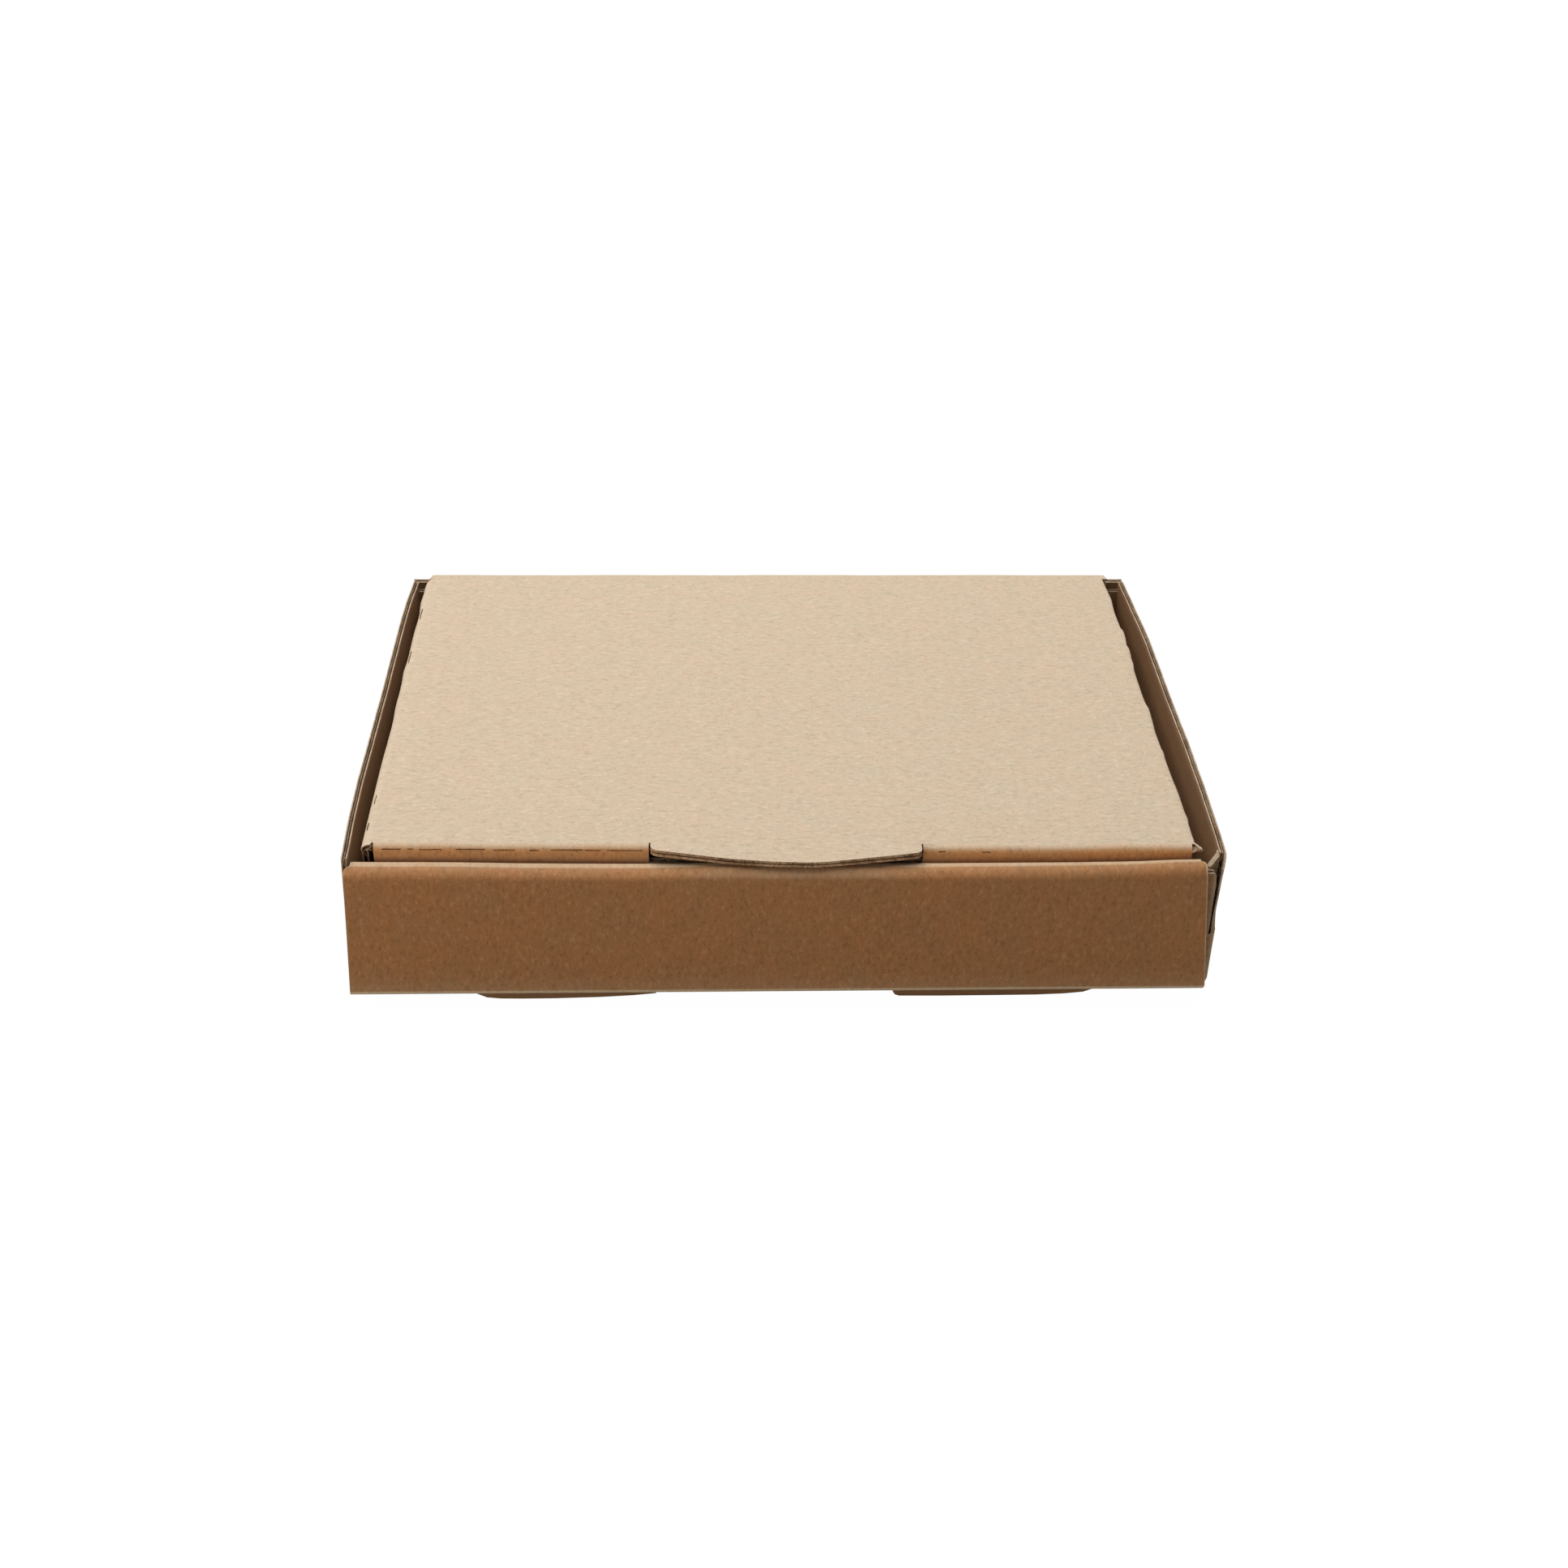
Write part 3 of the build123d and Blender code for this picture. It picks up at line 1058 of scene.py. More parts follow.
        # Paler along the bottom fold, the lowest few millimetres of the outer face and both side
        # edges.
        bottom = 1.3 * ramp(facing_up, 0.35, 0.05) * (y < -52) * (z < 0.85)
        low = 0.26 * ramp(z, 4.5, 0.0) * (y < -53)
        wear_and_highlight_marks = np.maximum.reduce([painted_roll_highlight, painted_light_under_tab, bottom, low]).reshape(grid.shape[:2])
        wear_and_highlight_marks[:, 0] = np.maximum(wear_and_highlight_marks[:, 0], 0.3)
        wear_and_highlight_marks[:, -1] = 1.0
        wall = Sheet("front_wall", grid, self.place, scuff=wear_and_highlight_marks, flute_row=2.0)
        return [wall, *(self._lock_tab(side, path.length[-1]) for side in Side)]

    def _lock_tab(self, side: Side, end: float) -> Sheet:
        """One lock tab, down through its slot.

        Args:
            side: which tab.
            end: the length of the wall's section, where the tab starts.

        Returns:
            Its sheet.
        """
        outline = self.left_tab if side is Side.LEFT else self.right_tab
        root = BOARD.thickness + 0.1
        us = rows_between([point[0] for point in outline], 1.5)
        feet = table(outline, us)
        grid = []
        for share in (0.0, 0.3, 0.6, 0.8, 0.92, 1.0):
            line = [(u, end + (root - foot) * share) for u, foot in zip(us, feet)]
            grid.append([(-u, v) for u, v in reversed(line)] if side is Side.LEFT else line)
        inner_y = self.front_y + self.thickness
        tip = 0.75 if side is Side.LEFT else 0.1

        def place(u: Array, v: Array, depth: Array) -> Array:
            """Hangs the tab down from the inner panel, the left one tipped forward."""
            z = root - (v - end)
            return np.stack([u, inner_y - depth - tip * ramp(z, 0.0, -3.5), z], axis=1)

        return Sheet(f"lock_tab_{side.name.lower()}", np.array(grid), place, flute_row=4.0)


@dataclass
class SideRing:
    """A side wall with its corner flaps, one strip of board round two corners."""

    side: Side
    wall_x: float = 76.7
    corner_y: float = 52.4
    fold_radius: float = 1.2
    wall_height: float = 27.0
    highest: float = 27.1
    front_flap_length: float = 34.0
    rear_flap_length: float = 30.0
    front_flap_top: float = 24.5
    rear_flap_top: float = 24.8
    flap_foot: float = 1.6
    end_slope: float = 4.0
    tear_foot: float = 11.2
    tear_from_y: float = -49.4

    # How far the walls' outer top edges stand from the middle, along the depth
    left_line: tuple = (
        (-52.4, 76.05), (-48, 76.2), (-41, 76.45), (-24, 76.6), (-11, 76.5), (6, 76.35),
        (30, 76.2), (43, 76.05), (51.7, 75.55),
    )
    right_line: tuple = (
        (-52.4, 77.8), (-49, 77.95), (-41, 78.08), (-35, 78.1), (-22, 78.05), (-8, 77.8),
        (7, 77.5), (22, 77.2), (30, 76.9), (39, 76.4), (47, 75.95), (52.4, 75.6),
    )

    @property
    def top_line(self) -> Callable[[Array], Array]:
        """The wall's outer top edge as a function of the place along the depth."""
        return smooth_line(self.left_line if self.side is Side.LEFT else self.right_line)

    @property
    def fold_start(self) -> float:
        """Where along the path the front corner's fold starts."""
        return self.front_flap_length - self.fold_radius

    @property
    def fold_end(self) -> float:
        """Where along the path the front corner's fold ends."""
        return self.fold_start + math.pi / 2 * self.fold_radius

    @property
    def tear_start(self) -> float:
        """Where along the path the torn corner begins, coming from the wall."""
        return self.fold_end + self.tear_from_y + self.corner_y - self.fold_radius

    def path(self) -> FoldPath:
        """The ring's outer face in plan, from the front flap's free end to the rear flap's.

        Returns:
            The path for the right side; the left one mirrors it.
        """
        path = FoldPath((self.wall_x - self.front_flap_length, -self.corner_y), 0.0, -1)
        path.run(self.fold_start).turn(90.0, self.fold_radius)
        path.run(2 * (self.corner_y - self.fold_radius), 3.5).turn(90.0, self.fold_radius)
        return path.run(self.rear_flap_length - self.fold_radius)

    def place(self, u: Array, v: Array, depth: Array) -> Array:
        """Folds the ring round its corners and lets the wall bow.

        Args:
            u: height.
            v: along the path.
            depth: below the outer face.

        Returns:
            Points in millimetres.
        """
        x, y, normal_x, normal_y, crease = self.path().at(v)
        share = ramp(u, 1.0, self.wall_height)
        depth = depth * (1 - 0.2 * crease) * (1 - 0.24 * ramp(u, 20.0, 26.0))
        x, y = x - normal_x * depth, y - normal_y * depth
        x = x + (self.top_line(y) - self.wall_x) * share**1.15
        x = x + 0.05 * ripple(y, 3.0 + self.side.value, 70.0) * share
        on_wall = np.clip(normal_x, 0, 1)
        foot = self.fold_radius - np.clip(u, 0, self.fold_radius)
        inset = self.fold_radius - np.sqrt(np.clip(self.fold_radius**2 - foot**2, 0, None))
        x = x - inset * on_wall
        if self.side is Side.RIGHT:
            x = x + 0.7 * (1 - share) * ramp(y, -42.0, -51.0) * ramp(x, 70.0, 75.0)
        waves = 0.12 * ripple(y, 5.0 + self.side.value, 45.0) * on_wall
        z = np.minimum(u + (waves - 0.06) * share, self.highest)
        return np.stack([self.side.value * x, y, z], axis=1)

    def sheets(self) -> list:
        """The strip, and at the torn corner its loose liner and flap.

        Returns:
            One or four sheets.
        """
        path = self.path()
        total = path.length[-1]
        fold = self.fold_end - self.fold_start
        wall_end = self.fold_end + 2 * (self.corner_y - self.fold_radius)
        front_foot, front_top = self.fold_start + fold * 0.3, self.fold_start + fold * 0.6
        rear_top, rear_foot = wall_end + fold * 0.4, wall_end + fold * 0.7
        torn = self.side is Side.RIGHT
        steps = [front_foot, front_top, rear_top, rear_foot] + [self.tear_start] * torn

        def ends(v: float) -> tuple:
            """The strip's bottom and top edge at a place along the path."""
            foot = self.flap_foot if v < front_foot or v > rear_foot else 0.0
            if torn and v < self.tear_start:
                return foot, self._tear_line(v)
            if v < front_top:
                return foot, self.front_flap_top
            return foot, self.rear_flap_top if v > rear_top else self.wall_height

        rows = rows_between(path.length, 3.5)
        rows += [step + gap for step in steps for gap in (-STEP_GAP, STEP_GAP)]
        heights = (0.0, 0.045, 0.09, 0.16, 0.3, 0.5, 0.7, 0.85, 0.95, 1.0)
        grid, scuff = [], []
        for v in sorted({round(row, 4) for row in rows}):
            low, high = ends(v)
            line = []
            for h in heights:
                along = self.end_slope * h if v < 1e-6 else v
                along = total - self.end_slope * h if v > total - 1e-6 else along
                line.append((low + (high - low) * h, along))
            grid.append(line)
            crease = 0.5 * path.spot(v)[4]
            scuff.append([max(crease, 0.5 * (h == 1.0), 0.3 * (h < 0.05)) for h in heights])
        start = (self.side.value * 210.0, 40.0)
        name = f"side_wall_{self.side.name.lower()}"
        strip = Sheet(
            name, np.array(grid), self.place, np.array(scuff), flute_row=3.0, map_start=start
        )
        return [strip, *(self._torn_corner(start) if torn else [])]

    def _tear_line(self, v: float) -> float:
        """The height up to which the torn corner is whole, at a place along the path."""
        share = float(ramp(v, self.fold_start, self.tear_start))
        return self.tear_foot + 1.6 * share + (0.25 * math.sin(5.0 * v) if 0 < share < 1 else 0.0)

    def _torn_corner(self, start: tuple) -> list:
        """The split front corner: the loose outer liner, the flap's end and the inner web.

        Args:
            start: where the strip's map starts.

        Returns:
            Three sheets.
        """
        tear = self.tear_start
        reach = tear - self.fold_start - 0.35
        grid = []
        for k in range(11):
            share = k / 10
            v = tear - reach * share
            low = self._tear_line(v)
            high = self.wall_height - 0.05 - 1.5 * share**2 - 0.22 * (k % 2) * (k > 2)
            heights = (0, 0.12, 0.25, 0.4, 0.6, 0.8, 0.93, 1.0)
            grid.append([(low + (high - low) * h, v) for h in heights])

        def place_liner(u: Array, v: Array, depth: Array) -> Array:
            """Lets the liner stand straight on from the wall, above the whole fold."""
            out = (tear - v) / reach
            y = self.tear_from_y - (tear - v) * 0.9
            lean = (self.top_line(y) - self.wall_x) * ramp(u, 1.0, self.wall_height) ** 1.15
            x = self.wall_x + lean - depth - 0.5 * out**2
            free = np.stack([x, y + 0.15 * ripple(u, 4.0, 9.0) * out, u], axis=1)
            loose = ramp(u, self.tear_foot + 0.3, self.tear_foot + 5.3)[:, None]
            return self.place(u, v, depth) * (1 - loose) + free * loose

        wear = np.array([[0.0] * 6 + [0.3, 0.9]] * 10 + [[0.5] * 6 + [0.7, 0.9]])
        liner = Sheet(
            "torn_liner", np.array(grid), place_liner, wear,
            fluted=False, liners=(True, False), map_start=start,
        )

        end = self.front_flap_length - 0.55
        corner = 0.7
        rows = [end - 31.0, *np.arange(end - 26.0, end - 2, 5.0)]
        rows += [end - corner * k for k in (1.0, 0.6, 0.3, 0.1, 0.0)]
        grid = []
        for v in rows:
            rise = self.front_flap_top - rounding(corner, end - v) - self.tear_foot
            grid.append([(self.tear_foot + rise * h, v) for h in (0, 0.3, 0.6, 0.85, 1.0)])

        def place_flap(u: Array, v: Array, depth: Array) -> Array:
            """Stands the flap straight on past its fold."""
            x = self.wall_x - self.front_flap_length + v
            x = x + 0.08 * ripple(u, 3.0, 7.0) * (v > end - 0.6)
            return np.stack([x, depth * (1 - 0.2 * (v > end - 1.0)) - self.corner_y, u], axis=1)

        wear = np.zeros((len(rows), 5))
        wear[-4:-2], wear[-2:] = 0.35, 0.8
        flap = Sheet(
            "torn_corner_flap", np.array(grid), place_flap, wear,
            flute_row=3.0, map_start=(-90.0, 300.0),
        )

        path = FoldPath((72.6, -self.corner_y + 1.5), 0.0, -1)
        path.run(2.3, 1.2).turn(45.0, 0.3, 3).run(2.6, 0.65).turn(30.0, 0.3, 2).run(0.6, 0.6)
        heights = ((0.0, 24.3), (2.3, 24.5), (3.0, 25.0), (5.2, 26.3), (path.length[-1], 26.5))
        foot = self.tear_foot - 0.4
        grid = []
        for k, (v, top) in enumerate(zip(path.length, table(heights, path.length))):
            rise = top + 0.12 * (k % 2) - 0.1 * (k % 3 == 1) - foot
            grid.append([(foot + rise * h, v) for h in (0, 0.3, 0.6, 0.9, 1.0)])

        def place_web(u: Array, v: Array, depth: Array) -> Array:
            """Runs the inner liner slantwise from the flap to the wall."""
            x, y, normal_x, normal_y, _ = path.at(v)
            depth = depth - 0.3 * ramp(u, 23.0, 26.5)
            return np.stack([x - normal_x * depth, y - normal_y * depth, u], axis=1)

        web = Sheet(
            "torn_web", np.array(grid), place_web,
            fluted=False, liners=(False, True), liner=0.85, thickness=0.9, map_start=start,
        )
        return [liner, flap, web]


@dataclass
class Tray:
    """The base with its walls."""

    width: float = 153.4
    depth: float = 108.0
    base_edge: float = 75.5
    base_end: float = 52.0
    slot_rows: tuple = (-50.9, -49.2)
    slot_end_gap: float = 0.6
    back_top_half_width: float = 75.7
    wall_height: float = 26.3
    rear_strip_from: float = 24.9
    rear_radius: float = 1.2
    lid_rear_half_width: float = 71.0
    front: FrontWall = field(default_factory=FrontWall)

    def _slot_ends(self, tab: tuple) -> tuple:
        """The places across between which the base is cut for a lock tab."""
        return tab[0][0] - self.slot_end_gap, tab[-1][0] + self.slot_end_gap

    def _in_slot(self, u: float, v: float) -> bool:
        """True where the base is cut for a lock tab, this far across and along the depth."""
        low, high = self._slot_ends(self.front.left_tab if u < 0 else self.front.right_tab)
        return low < abs(u) < high and self.slot_rows[0] < v < self.slot_rows[1]

    def _base(self) -> Sheet:
        """The base, whose outer face is its underside.

        Returns:
            Its sheet.
        """
        left, right = self._slot_ends(self.front.left_tab), self._slot_ends(self.front.right_tab)
        marks = [-self.base_edge, -left[1], -left[0], *right, self.base_edge]
        rows = rows_between([-self.base_end, *self.slot_rows, self.base_end], 12.0)
        grid = np.array([[(u, v) for u in rows_between(marks, 12.0)] for v in rows])

        def place(u: Array, v: Array, depth: Array) -> Array:
            """Lays the base flat."""
            return np.stack([u, v, depth], axis=1)

        start = (500.0, 0.0)
        return Sheet("base", grid, place, skip=self._in_slot, flute_row=10.0, map_start=start)

    def _back(self) -> Sheet:
        """The back wall, up to the crease that the lid turns on.

        Returns:
            Its sheet.
        """
        path = FoldPath((self.base_end, 0.0), 0.0, -1)
        path.run(self.depth / 2 - self.base_end - self.rear_radius).turn(90.0, self.rear_radius)
        path.run(self.rear_strip_from - self.rear_radius, 4.0)
        end = path.length[-1]
        rear, bottom = self.lid_rear_half_width, self.width / 2
        steps = [rear - STEP_GAP, rear + STEP_GAP]
        inner = [-steps[1], -steps[0], *np.arange(-68.0, 68.1, 4.0), *steps]

        def half(v: float) -> float:
            """The wall's half width at a place along the path."""
            share = min(max((v - 2.7) / (self.wall_height - 1.2), 0), 1)
            return bottom + (self.back_top_half_width - bottom) * share

        grid = row_grid(path.length, lambda v: -half(v), half, inner)
        last = grid[-1:].copy()
        beside = np.abs(last[..., 0]) > rear
        last[..., 1] = end + beside * (self.wall_height - self.rear_strip_from)
        grid = np.concatenate([grid, last])

        def place(u: Array, v: Array, depth: Array) -> Array:
            """Folds the wall up from the base."""
            y, z, normal_y, normal_z, _ = path.at(np.minimum(v, end))
            z = z - normal_z * depth + np.maximum(v - end, 0)
            return np.stack([u, y - normal_y * depth, z], axis=1)

        return Sheet("back_wall", grid, place, flute_row=4.0, map_start=(800.0, 0.0))

    def build(self, flutes: FluteTree, finishes: Finishes) -> list:
        """Builds the tray's sheets.

        Args:
            flutes: the flute tree.
            finishes: the papers.

        Returns:
            The objects.
        """
        rings = [sheet for side in Side for sheet in SideRing(side).sheets()]
        made = []
        for paper, group in (
            (finishes.side, [self._base(), self._back(), *rings]),
            # The front wall gets the paper with the front's shade painted into its colour.
            (finishes.wall, self.front.sheets()),
        ):
            made += [sheet.build(flutes, finishes.papers(paper)) for sheet in group]
        for piece in made:
            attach(piece, Body.TRAY.value)
        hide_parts("tray")
        return made


# ---- The lid


@dataclass
class Lid:
    """The lid with its tuck flap, side flaps and thumb tab."""

    top: float = 27.9
    half_width: float = 72.4
    left_radius: float = 1.5
    right_radius: float = 0.5
    scallops_from: float = 66.0
    side_drop: float = 21.5
    fold_y: float = -49.0
    fold_radius: float = 1.2
    rear_y: float = 51.0
    back_y: float = 54.0
    crease_foot: float = 24.9
    crease_run: float = 1.5
    hinge_y: float = 53.25
    rear_half_width: float = 71.0
    corner_run: float = 3.0
    corner_width: float = 1.4
    tuck_half_width: float = 70.8
    tuck_right: float = 72.2
    tuck_depth: float = 19.0
    tuck_lean: float = 6.0
    tuck_corner: float = 6.0
    side_depth: float = 20.0
    side_front_y: float = -48.3
    side_rear_y: float = 50.5
    side_slope: float = 5.0
    side_set_back: tuple = (1.0, 1.9)
    side_corner: float = 4.0
    tab_left: float = -22.4
    tab_right: float = 24.95
    tab_middle: float = 1.0
    tab_reach: float = 4.4
    tab_corner: float = 1.2
    slit: float = 0.3
    cut_half_width: float = 0.09

    # How far the thumb tab stands out, the front edge's sag, and the folds over the side flaps.
    # The right fold is scalloped, with the liner standing out between its cuts.
    tab_front: tuple = (
        (-22.4, 0.75), (-19.75, 1.3), (-14.1, 2.38), (-8.4, 3.38), (-2.8, 4.0), (2.0, 4.32),
        (6.5, 4.35), (11.3, 3.8), (17.0, 2.95), (22.6, 2.0), (24.95, 1.55),
    )
    front_sag: tuple = (
        (-73.0, 0.1), (-60.0, 0.12), (-50.0, 0.3), (-25.0, 0.36), (-22.5, 0.2), (24.0, 0.3),
        (27.0, 0.68), (48.0, 0.68), (60.0, 0.45), (73.0, 0.4),
    )
    right_edge: tuple = (
        (-49.0, 73.95), (-48.3, 73.9), (-48.0, 73.4), (-47.4, 73.05), (-45.3, 72.82),
        (-41.2, 72.8), (-39.8, 73.0), (-38.4, 72.75), (-31.7, 72.7), (-26.6, 72.45),
        (-20.4, 72.3), (-17.3, 72.42), (-16.7, 72.2), (-11.0, 72.05), (-5.2, 72.25),
        (-1.4, 72.28), (-0.9, 72.0), (2.2, 71.85), (7.7, 71.8), (12.6, 71.78), (15.2, 72.08),
        (18.1, 71.97), (18.5, 72.15), (21.4, 72.18), (21.9, 71.85), (25.2, 72.12), (28.7, 72.22),
        (29.1, 71.8), (36.9, 71.54), (42.4, 71.75), (48.0, 71.35), (54.0, 71.0),
    )
    left_edge: tuple = (
        (-49.0, 73.1), (-42.0, 73.1), (-30.0, 73.08), (-20.0, 73.05), (-12.0, 72.88),
        (-5.5, 72.83), (-2.0, 72.98), (9.0, 72.95), (13.0, 73.12), (17.0, 72.93), (29.0, 72.9),
        (37.4, 72.72), (41.7, 73.03), (46.0, 72.85), (50.4, 72.7), (54.0, 71.6),
    )
    # The short cuts along the front fold (from, to) and along the left fold (from, to, across)
    front_cuts: tuple = (
        (-69.3, -66.0), (-64.8, -63.8), (-62.8, -58.8), (-56.4, -51.3), (-49.8, -46.1),
        (-43.6, -41.9), (-39.8, -34.2), (-33.9, -31.0), (-30.1, -23.8), (27.9, 29.1), (35.5, 37.0),
    )
    left_cuts: tuple = (
        (38.0, 33.5, 72.1), (20.0, 15.5, 72.3), (-32.6, -35.4, 72.3), (-41.4, -43.6, 72.5),
    )

    @property
    def fold_start(self) -> float:
        """Where the front fold's curve starts, along the depth."""
        return self.fold_y + self.fold_radius * math.tan(math.radians(45 + self.tuck_lean / 2))

    def across(self) -> FoldPath:
        """The section across the lid, from the left flap's foot over the lid to the right's.

        Returns:
            The path in (across, height).
        """
        left, right = self.left_radius, self.right_radius
        path = FoldPath((-self.half_width, self.top - self.side_drop), 90.0, 1)
        path.run(self.side_drop - left, 3.4).turn(-90.0, left, 8)
        path.run(2 * self.half_width - left - right, 5.0).turn(-90.0, right, 4)
        return path.run(self.side_drop - right, 3.4)

    def place(self, u: Array, v: Array, depth: Array) -> Array:
        """Folds the side flaps down and follows the scalloped folds.

        Args:
            u: along the section across the lid.
            v: along the depth.
            depth: below the outer face.

        Returns:
            Points in millimetres.
        """
        x, z, normal_x, normal_z, crease = self.across().at(u)
        depth = depth * (1 - 0.2 * crease) * (1 - 0.34 * np.clip(np.abs(normal_x), 0, 1))
        x, z = x - normal_x * depth, z - normal_z * depth
        near = ramp(abs(x), self.scallops_from, self.half_width) ** 2
        right = near * (x > 0) * (table(self.right_edge, v) - self.half_width)
        left = near * (x < 0) * (smooth_line(self.left_edge)(v) + 0.1 - self.half_width)
        drop = ramp(z, 27.4, 26.2)
        x = x + right * (1 - 0.9 * drop) - left * (1 - 0.25 * drop)
        x = x - 0.35 * drop * (x > 60)
        sag = 0.10 * (1 + ripple(x, 2.0, 130.0) * 0.6 + ripple(v, 1.0, 120.0) * 0.4)
        sag = sag * ramp(abs(x), 72.0, 52.0) * ramp(v, -48.0, -34.0) * ramp(v, 51.0, 37.0)
        front = self._sag(x) * ramp(v, self.fold_start + 12.0, self.fold_start) ** 1.6
        return np.stack([x, v, z - sag - front], axis=1)

    def _sag(self, x: Array) -> Array:
        """How far the lid's front edge sags across."""
        return table(self.front_sag, x)

    def _top(self) -> Sheet:
        """The lid and its side flaps.

        Returns:
            Their sheet.
        """
        path = self.across()
        end = path.length[-1]
        flap = self.side_drop - self.left_radius
        zero = flap + (math.pi / 2 - 1) * self.left_radius + self.half_width
        right_flap = end - flap - 0.9
        left, right = -self.tuck_half_width, self.tuck_right
        marks = [left - 0.03, left, right, right + 0.03, self.tab_left, self.tab_right]
        marks += [-self.rear_half_width, self.rear_half_width]
        us = [*path.length, *(zero + mark for mark in marks)]
        for k in (0.04, 0.12, 0.25, 0.45, 0.7, 1.0):
            us += [self.side_corner * k, end - self.side_corner * k]
        us = sorted({round(u, 4) for u in us})

        def ends(u: float) -> tuple:
            """Where the sheet starts and ends along the depth."""
            x = u - zero
            over = max(0.0, abs(x) - self.rear_half_width)
            rear = min(self.rear_y, self.hinge_y - self.corner_run * over / self.corner_width)
            if left <= x <= right:
                return self.fold_start, rear
            if abs(x) <= self.half_width - 0.6 or (0 < x and u < right_flap):
                return self.side_front_y - (0.75 if x > 0 else 0.0), rear
            below = flap + 0.3 - u if x < 0 else u - right_flap
            below = min(max(below, 0.0), self.side_depth)
            slope = self.side_slope * (below / self.side_depth) ** 2.4
            corner = rounding(self.side_corner, self.side_depth - below)
            back_off = self.side_set_back[0 if x < 0 else 1] * min(below / 0.6, 1.0)
            back = self.side_rear_y - 0.5 * slope - corner
            front = self.side_front_y + back_off + slope + corner
            return front, min(back, rear) if below < 0.5 else back

        shares = sorted({0.006, 0.994} | set(np.round(np.linspace(0, 1, 90), 5)))
        creases = [0.5 * path.spot(u)[4] for u in us]
        grid, wear = [], []
        for t in shares:
            spans = [(u, *ends(u)) for u in us]
            grid.append([(u, front + (back - front) * t) for u, front, back in spans])
            rim = [0.35 if t in (0.0, 1.0) and abs(u - zero) > 71 else 0.0 for u in us]
            wear.append(np.maximum(creases, rim))
        start = (-zero, 0.0)
        return Sheet(
            "lid_panel", np.array(grid), self.place, np.array(wear), flute_row=5.0, map_start=start
        )

    def _notch(self, x: float, v: float) -> bool:
        """True where the thumb tab's shape is cut out of the tuck flap."""
        beside = self.tab_left - self.slit < x < self.tab_right + self.slit
        return beside and v < self.tab_reach + self.slit

    def _tuck(self) -> Sheet:
        """The tuck flap, from the front fold down behind the front wall.

        Returns:
            Its sheet.
        """
        path = FoldPath((self.fold_start, self.top), 180.0, -1)
        path.turn(90.0 + self.tuck_lean, self.fold_radius, 8)
        path.run(self.tuck_depth - self.fold_radius, 1.2)
        foot = path.length[-1]
        rounded = [foot - self.tuck_corner * k for k in (0.02, 0.06, 0.12, 0.25, 0.4, 0.7)]

        def half(v: float) -> float:
            """The flap's half width at a place along the path."""
            return self.tuck_half_width - rounding(self.tuck_corner, foot - v)

        more = self.tuck_right - self.tuck_half_width
        marks = [self.tab_left - self.slit, self.tab_right + self.slit]
        inner = sorted([*np.arange(-69.0, 69.1, 3.0), *marks])
        rows = sorted({round(row, 4) for row in (*path.length, *rounded)})
        grid = row_grid(rows, lambda v: -half(v), lambda v: half(v) + more, inner)

        def place(u: Array, v: Array, depth: Array) -> Array:
            """Folds the flap down from the lid."""
            y, z, normal_y, normal_z, crease = path.at(v)
            swell = 0.06 * ripple(u, 7.0, 13.0) * crease
            depth = depth * (1 - 0.25 * crease) - 0.4 * swell
            z = z - normal_z * depth - self._sag(u)
            return np.stack([u, y - normal_y * (depth + 0.06 - 0.6 * swell), z], axis=1)

        # Painted highlight where the fold turns up to the light, and painted light on the flap's
        # face below the fold, lifting the shade of the narrow gap above the roll.
        facing_up = path.at(grid[:, :, 1].ravel())[3].reshape(grid.shape[:2])
        low = 0.55 * np.interp(grid[:, :, 1], (2.6, 4.2, 5.5, 9.0), (0, 1, 1, 0))
        wear_and_highlight_marks = np.maximum(ramp(facing_up, 0.42, 0.92), low)
        start = (0.0, -60.0)
        return Sheet(
            "tuck_flap", grid, place, wear_and_highlight_marks, skip=self._notch, flute_row=4.0, map_start=start
        )

    def _thumb_tab(self) -> Sheet:
        """The thumb tab, in the lid's plane.

        Returns:
            Its sheet.
        """
        half = (self.tab_right - self.tab_left) / 2
        near = [self.tab_corner * k for k in (0.0, 0.04, 0.12, 0.3, 0.55, 1.0)]
        us = [self.tab_left + n for n in near] + [self.tab_right - n for n in reversed(near)]
        us = rows_between(us, 1.2)
        outline = smooth_line(self.tab_front)
        fronts = []
        for u in us:
            from_end = min(u - self.tab_left, self.tab_right - u)
            fronts.append(self.fold_y - float(outline(u)) + rounding(self.tab_corner, from_end))
        shares = (0.0, 0.05, 0.15, 0.35, 0.6, 1.0)
        grid = [
            [(u, front + (self.fold_start - front) * t) for u, front in zip(us, fronts)]
            for t in shares
        ]

        def place(u: Array, v: Array, depth: Array) -> Array:
            """Lays the tab on the front wall, pressed down a little at its front."""
            out = np.clip((self.fold_start - v) / 5.6, 0, 1)
            pressed = 0.35 - 0.25 * ((u - self.tab_middle) / half) ** 2
            z = self.top - depth * (1 - 0.26 * out) - self._sag(u) * (1 - out) - pressed * out**1.5
            return np.stack([u, v, z + 0.03 * ripple(u, 3.0, 17.0) * out], axis=1)

        wear = np.zeros((len(shares), len(us)))
        wear[0] = 0.6
        return Sheet("thumb_tab", np.array(grid), place, wear, fluted=False, liner=0.58)

    def _rear_fold(self) -> Sheet:
        """The crushed crease that joins the back wall to the lid.

        Returns:
            Its sheet.
        """
        run = self.crease_run
        path = FoldPath((self.back_y, self.crease_foot), 90.0, -1)
        path.run(run, 0.5).turn(90.0, run, 10).run(run, 0.5)
        end = path.length[-1]

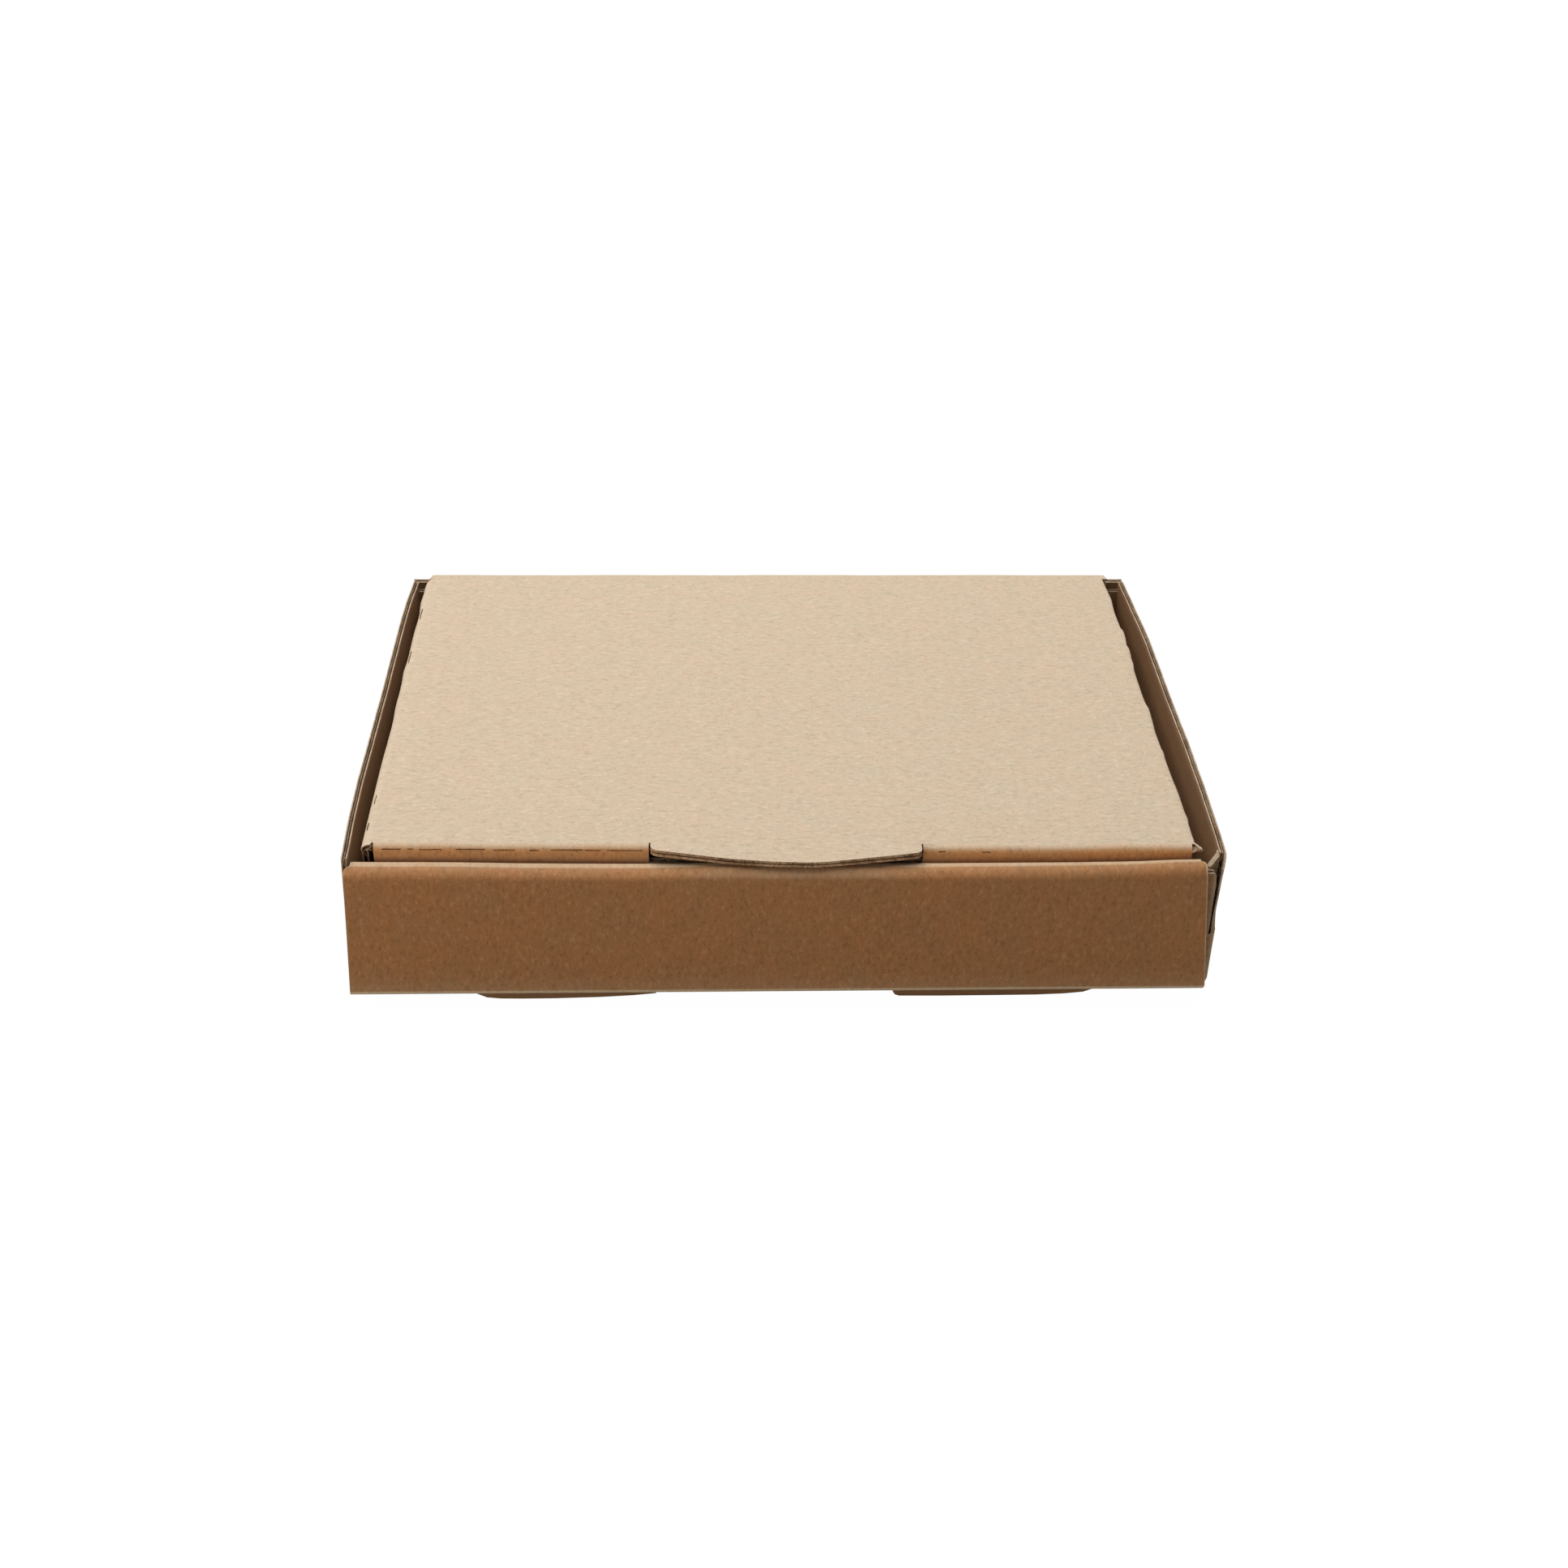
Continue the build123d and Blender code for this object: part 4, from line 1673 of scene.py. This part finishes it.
        def place(u: Array, v: Array, depth: Array) -> Array:
            """Bends the crease over the back edge."""
            y, z, normal_y, normal_z, crease = path.at(v)
            depth = depth * (1 - 0.45 * crease) + 0.05 * (1 + ripple(u, 6.0, 37.0)) * crease
            return np.stack([u, y - normal_y * depth, z - normal_z * depth], axis=1)

        def half(v: float) -> float:
            """The crease's half width, which grows toward the lid."""
            return self.rear_half_width + 1.05 * max(0.0, (v - run) / (end - run))

        grid = row_grid(path.length, lambda v: -half(v), half, np.arange(-68.0, 68.1, 4.0))
        toward_lid = 1.7 * np.clip(grid[:, :, 1] / (end - 0.9), 0, 1) ** 1.5
        return Sheet("rear_fold", grid, place, toward_lid, flute_row=1.0, map_start=(0.0, 60.0))

    def _crease_slits(self, slits: SlitTree, finish: bpy.types.Material) -> bpy.types.Object:
        """The short cuts along the lid's front and left folds.

        Args:
            slits: the slit tree.
            finish: the cuts' material.

        Returns:
            One object with all the cuts.
        """
        points = []
        for k, (a, b) in enumerate(self.front_cuts):
            y = self.fold_y + 0.25 + 0.05 * math.sin(3.1 * k)
            z = self.top - 0.68 + 0.06 * math.sin(2.3 * k) - float(self._sag(a))
            points += [(a + (b - a) * s / 4, y + 0.04 * math.sin(1.9 * s + k), z) for s in range(5)]
        for a, b, x in self.left_cuts:
            z = self.top - 0.22
            points += [(0.05 * math.sin(s * 2.0) - x, a + (b - a) * s / 4, z) for s in range(5)]
        edges = [(k, k + 1) for k in range(len(points)) if k % 5 < 4]
        guides = bpy.data.meshes.new("crease_slit_guides")
        guides.from_pydata([tuple(part * MM for part in point) for point in points], edges, [])
        mesh = slits.grow(guides, {"Cut Width": self.cut_half_width * MM, "Finish": finish})
        mesh.name = "crease_slits"
        tidy_normals(mesh, 60.0)
        return add_object("crease_slits", mesh)

    def build(self, flutes: FluteTree, slits: SlitTree, finishes: Finishes) -> list:
        """Builds the lid's sheets.

        Args:
            flutes: the flute tree.
            slits: the slit tree.
            finishes: the papers.

        Returns:
            The objects.
        """
        papers = finishes.papers(finishes.lid_top)
        pressed = finishes.get(finishes.pressed)
        made = [
            self._top().build(flutes, papers),
            self._thumb_tab().build(flutes, [*papers[:2], pressed, pressed]),
            # The tuck flap's paper carries painted light.
            self._tuck().build(flutes, finishes.papers(finishes.tuck)),
            # The cuts' paper is painted shade.
            self._crease_slits(slits, finishes.get(finishes.slit)),
        ]
        for piece in made:
            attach(piece, Body.LID.value)
        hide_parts("lid")
        rear = self._rear_fold().build(flutes, finishes.papers(finishes.bend))
        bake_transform(rear)
        return [*made, rear]


# ---- The studio


@dataclass
class Studio:
    """The floor, the lamps, the backdrop and the camera."""

    camera_place: tuple = (-0.01028, -0.36028, 0.24298)
    camera_pitch: float = 57.0
    lens: float = 49.86
    sensor: float = 36.0
    shift: float = 0.0409
    floor_z: float = -0.00391
    floor_half: float = 3.0
    floor_colour: tuple = (0.46, 0.45, 0.43)
    floor_glow: float = 1.062
    floor_share: float = 0.93
    world_level: float = 0.2
    world_tint: tuple = (1.0, 0.985, 0.96)

    # Each lamp's name, place in metres, rotation in degrees, side, power in watts and tint
    lamps: tuple = (
        ("top_softbox", (-0.15, 0.27, 0.85), (-17.0, -9.5, 0.0), 0.9, 8.95, (1.0, 0.985, 0.965)),
        ("front_fill", (-0.38, -0.42, 0.12), (80.0, 0.0, -42.0), 0.3, 0.8, (1.0, 0.86, 0.70)),
    )

    def _camera(self) -> None:
        """Makes the camera at the photograph's viewing angle."""
        data = bpy.data.cameras.new("camera")
        data.lens, data.sensor_width, data.shift_x = self.lens, self.sensor, self.shift
        data.clip_start, data.clip_end = 0.01, 20.0
        camera = add_object("camera", data)
        camera.location = self.camera_place
        camera.rotation_euler = (math.radians(self.camera_pitch), 0.0, 0.0)
        bpy.context.scene.camera = camera

    def _lamps(self) -> None:
        """Adds the soft square lamps."""
        for name, place, turn, size, power, tint in self.lamps:
            data = bpy.data.lights.new(name, "AREA")
            data.size, data.energy, data.color = size, power, tint
            lamp = add_object(name, data)
            lamp.location = place
            lamp.rotation_euler = tuple(math.radians(angle) for angle in turn)

    def _shader(self, graph: Graph, lit: Wire, white: Wire, share: float) -> Wire:
        """Shows white to rays that see the backdrop: the camera's, and those of gloss and glass.

        Args:
            graph: the graph that it is added to.
            lit: the shader that lights the box or takes its shadow.
            white: the shader that is seen.
            share: how much of the white is seen.

        Returns:
            The mixed shader.
        """
        camera = graph.node("ShaderNodeLightPath", {}, output="Is Camera Ray")
        seen = camera + camera.out("Is Glossy Ray") + camera.out("Is Transmission Ray")
        values = {0: seen.clamp() * share, 1: lit, 2: white}
        return graph.node("ShaderNodeMixShader", values)

    def _floor(self) -> None:
        """Makes a pale floor that shows white and keeps the box's shadow."""
        mesh = bpy.data.meshes.new("floor")
        corners = ((-1, -1), (1, -1), (1, 1), (-1, 1))
        points = [(x * self.floor_half, y * self.floor_half, self.floor_z) for x, y in corners]
        mesh.from_pydata(points, [], [(0, 1, 2, 3)])
        material = bpy.data.materials.new("studio_floor")
        material.use_nodes = True
        graph = Graph(material.node_tree)
        lit = graph.node("ShaderNodeBsdfDiffuse", {"Color": rgba(self.floor_colour)})
        values = {"Color": (1, 1, 1, 1), "Strength": self.floor_glow}
        white = graph.node("ShaderNodeEmission", values)
        surface = self._shader(graph, lit, white, self.floor_share)
        graph.node("ShaderNodeOutputMaterial", {"Surface": surface})
        mesh.materials.append(material)
        add_object("floor", mesh)

    def _world(self) -> None:
        """Makes a soft even world that shows white."""
        world = bpy.data.worlds.new("studio")
        world.use_nodes = True
        graph = Graph(world.node_tree)
        values = {"Color": rgba(self.world_tint), "Strength": self.world_level}
        lit = graph.node("ShaderNodeBackground", values)
        white = graph.node("ShaderNodeBackground", {"Color": (1, 1, 1, 1), "Strength": 1.0})
        surface = self._shader(graph, lit, white, 1.0)
        graph.node("ShaderNodeOutputWorld", {"Surface": surface})
        bpy.context.scene.world = world

    def build(self) -> None:
        """Sets up the whole studio."""
        self._camera()
        self._floor()
        self._world()
        self._lamps()
        bpy.context.scene.view_settings.view_transform = "Standard"


def main() -> None:
    """Builds the box and the studio, in order."""
    logging.basicConfig(level=logging.INFO, format="%(message)s")
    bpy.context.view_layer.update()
    finishes = Finishes()
    flutes = FluteTree()
    slits = SlitTree()
    Studio().build()
    for piece in Tray().build(flutes, finishes) + Lid().build(flutes, slits, finishes):
        triangles = sum(len(face.vertices) - 2 for face in piece.data.polygons)
        log.info("made %s: %d triangles", piece.name, triangles)


if __name__ == "__main__":
    main()
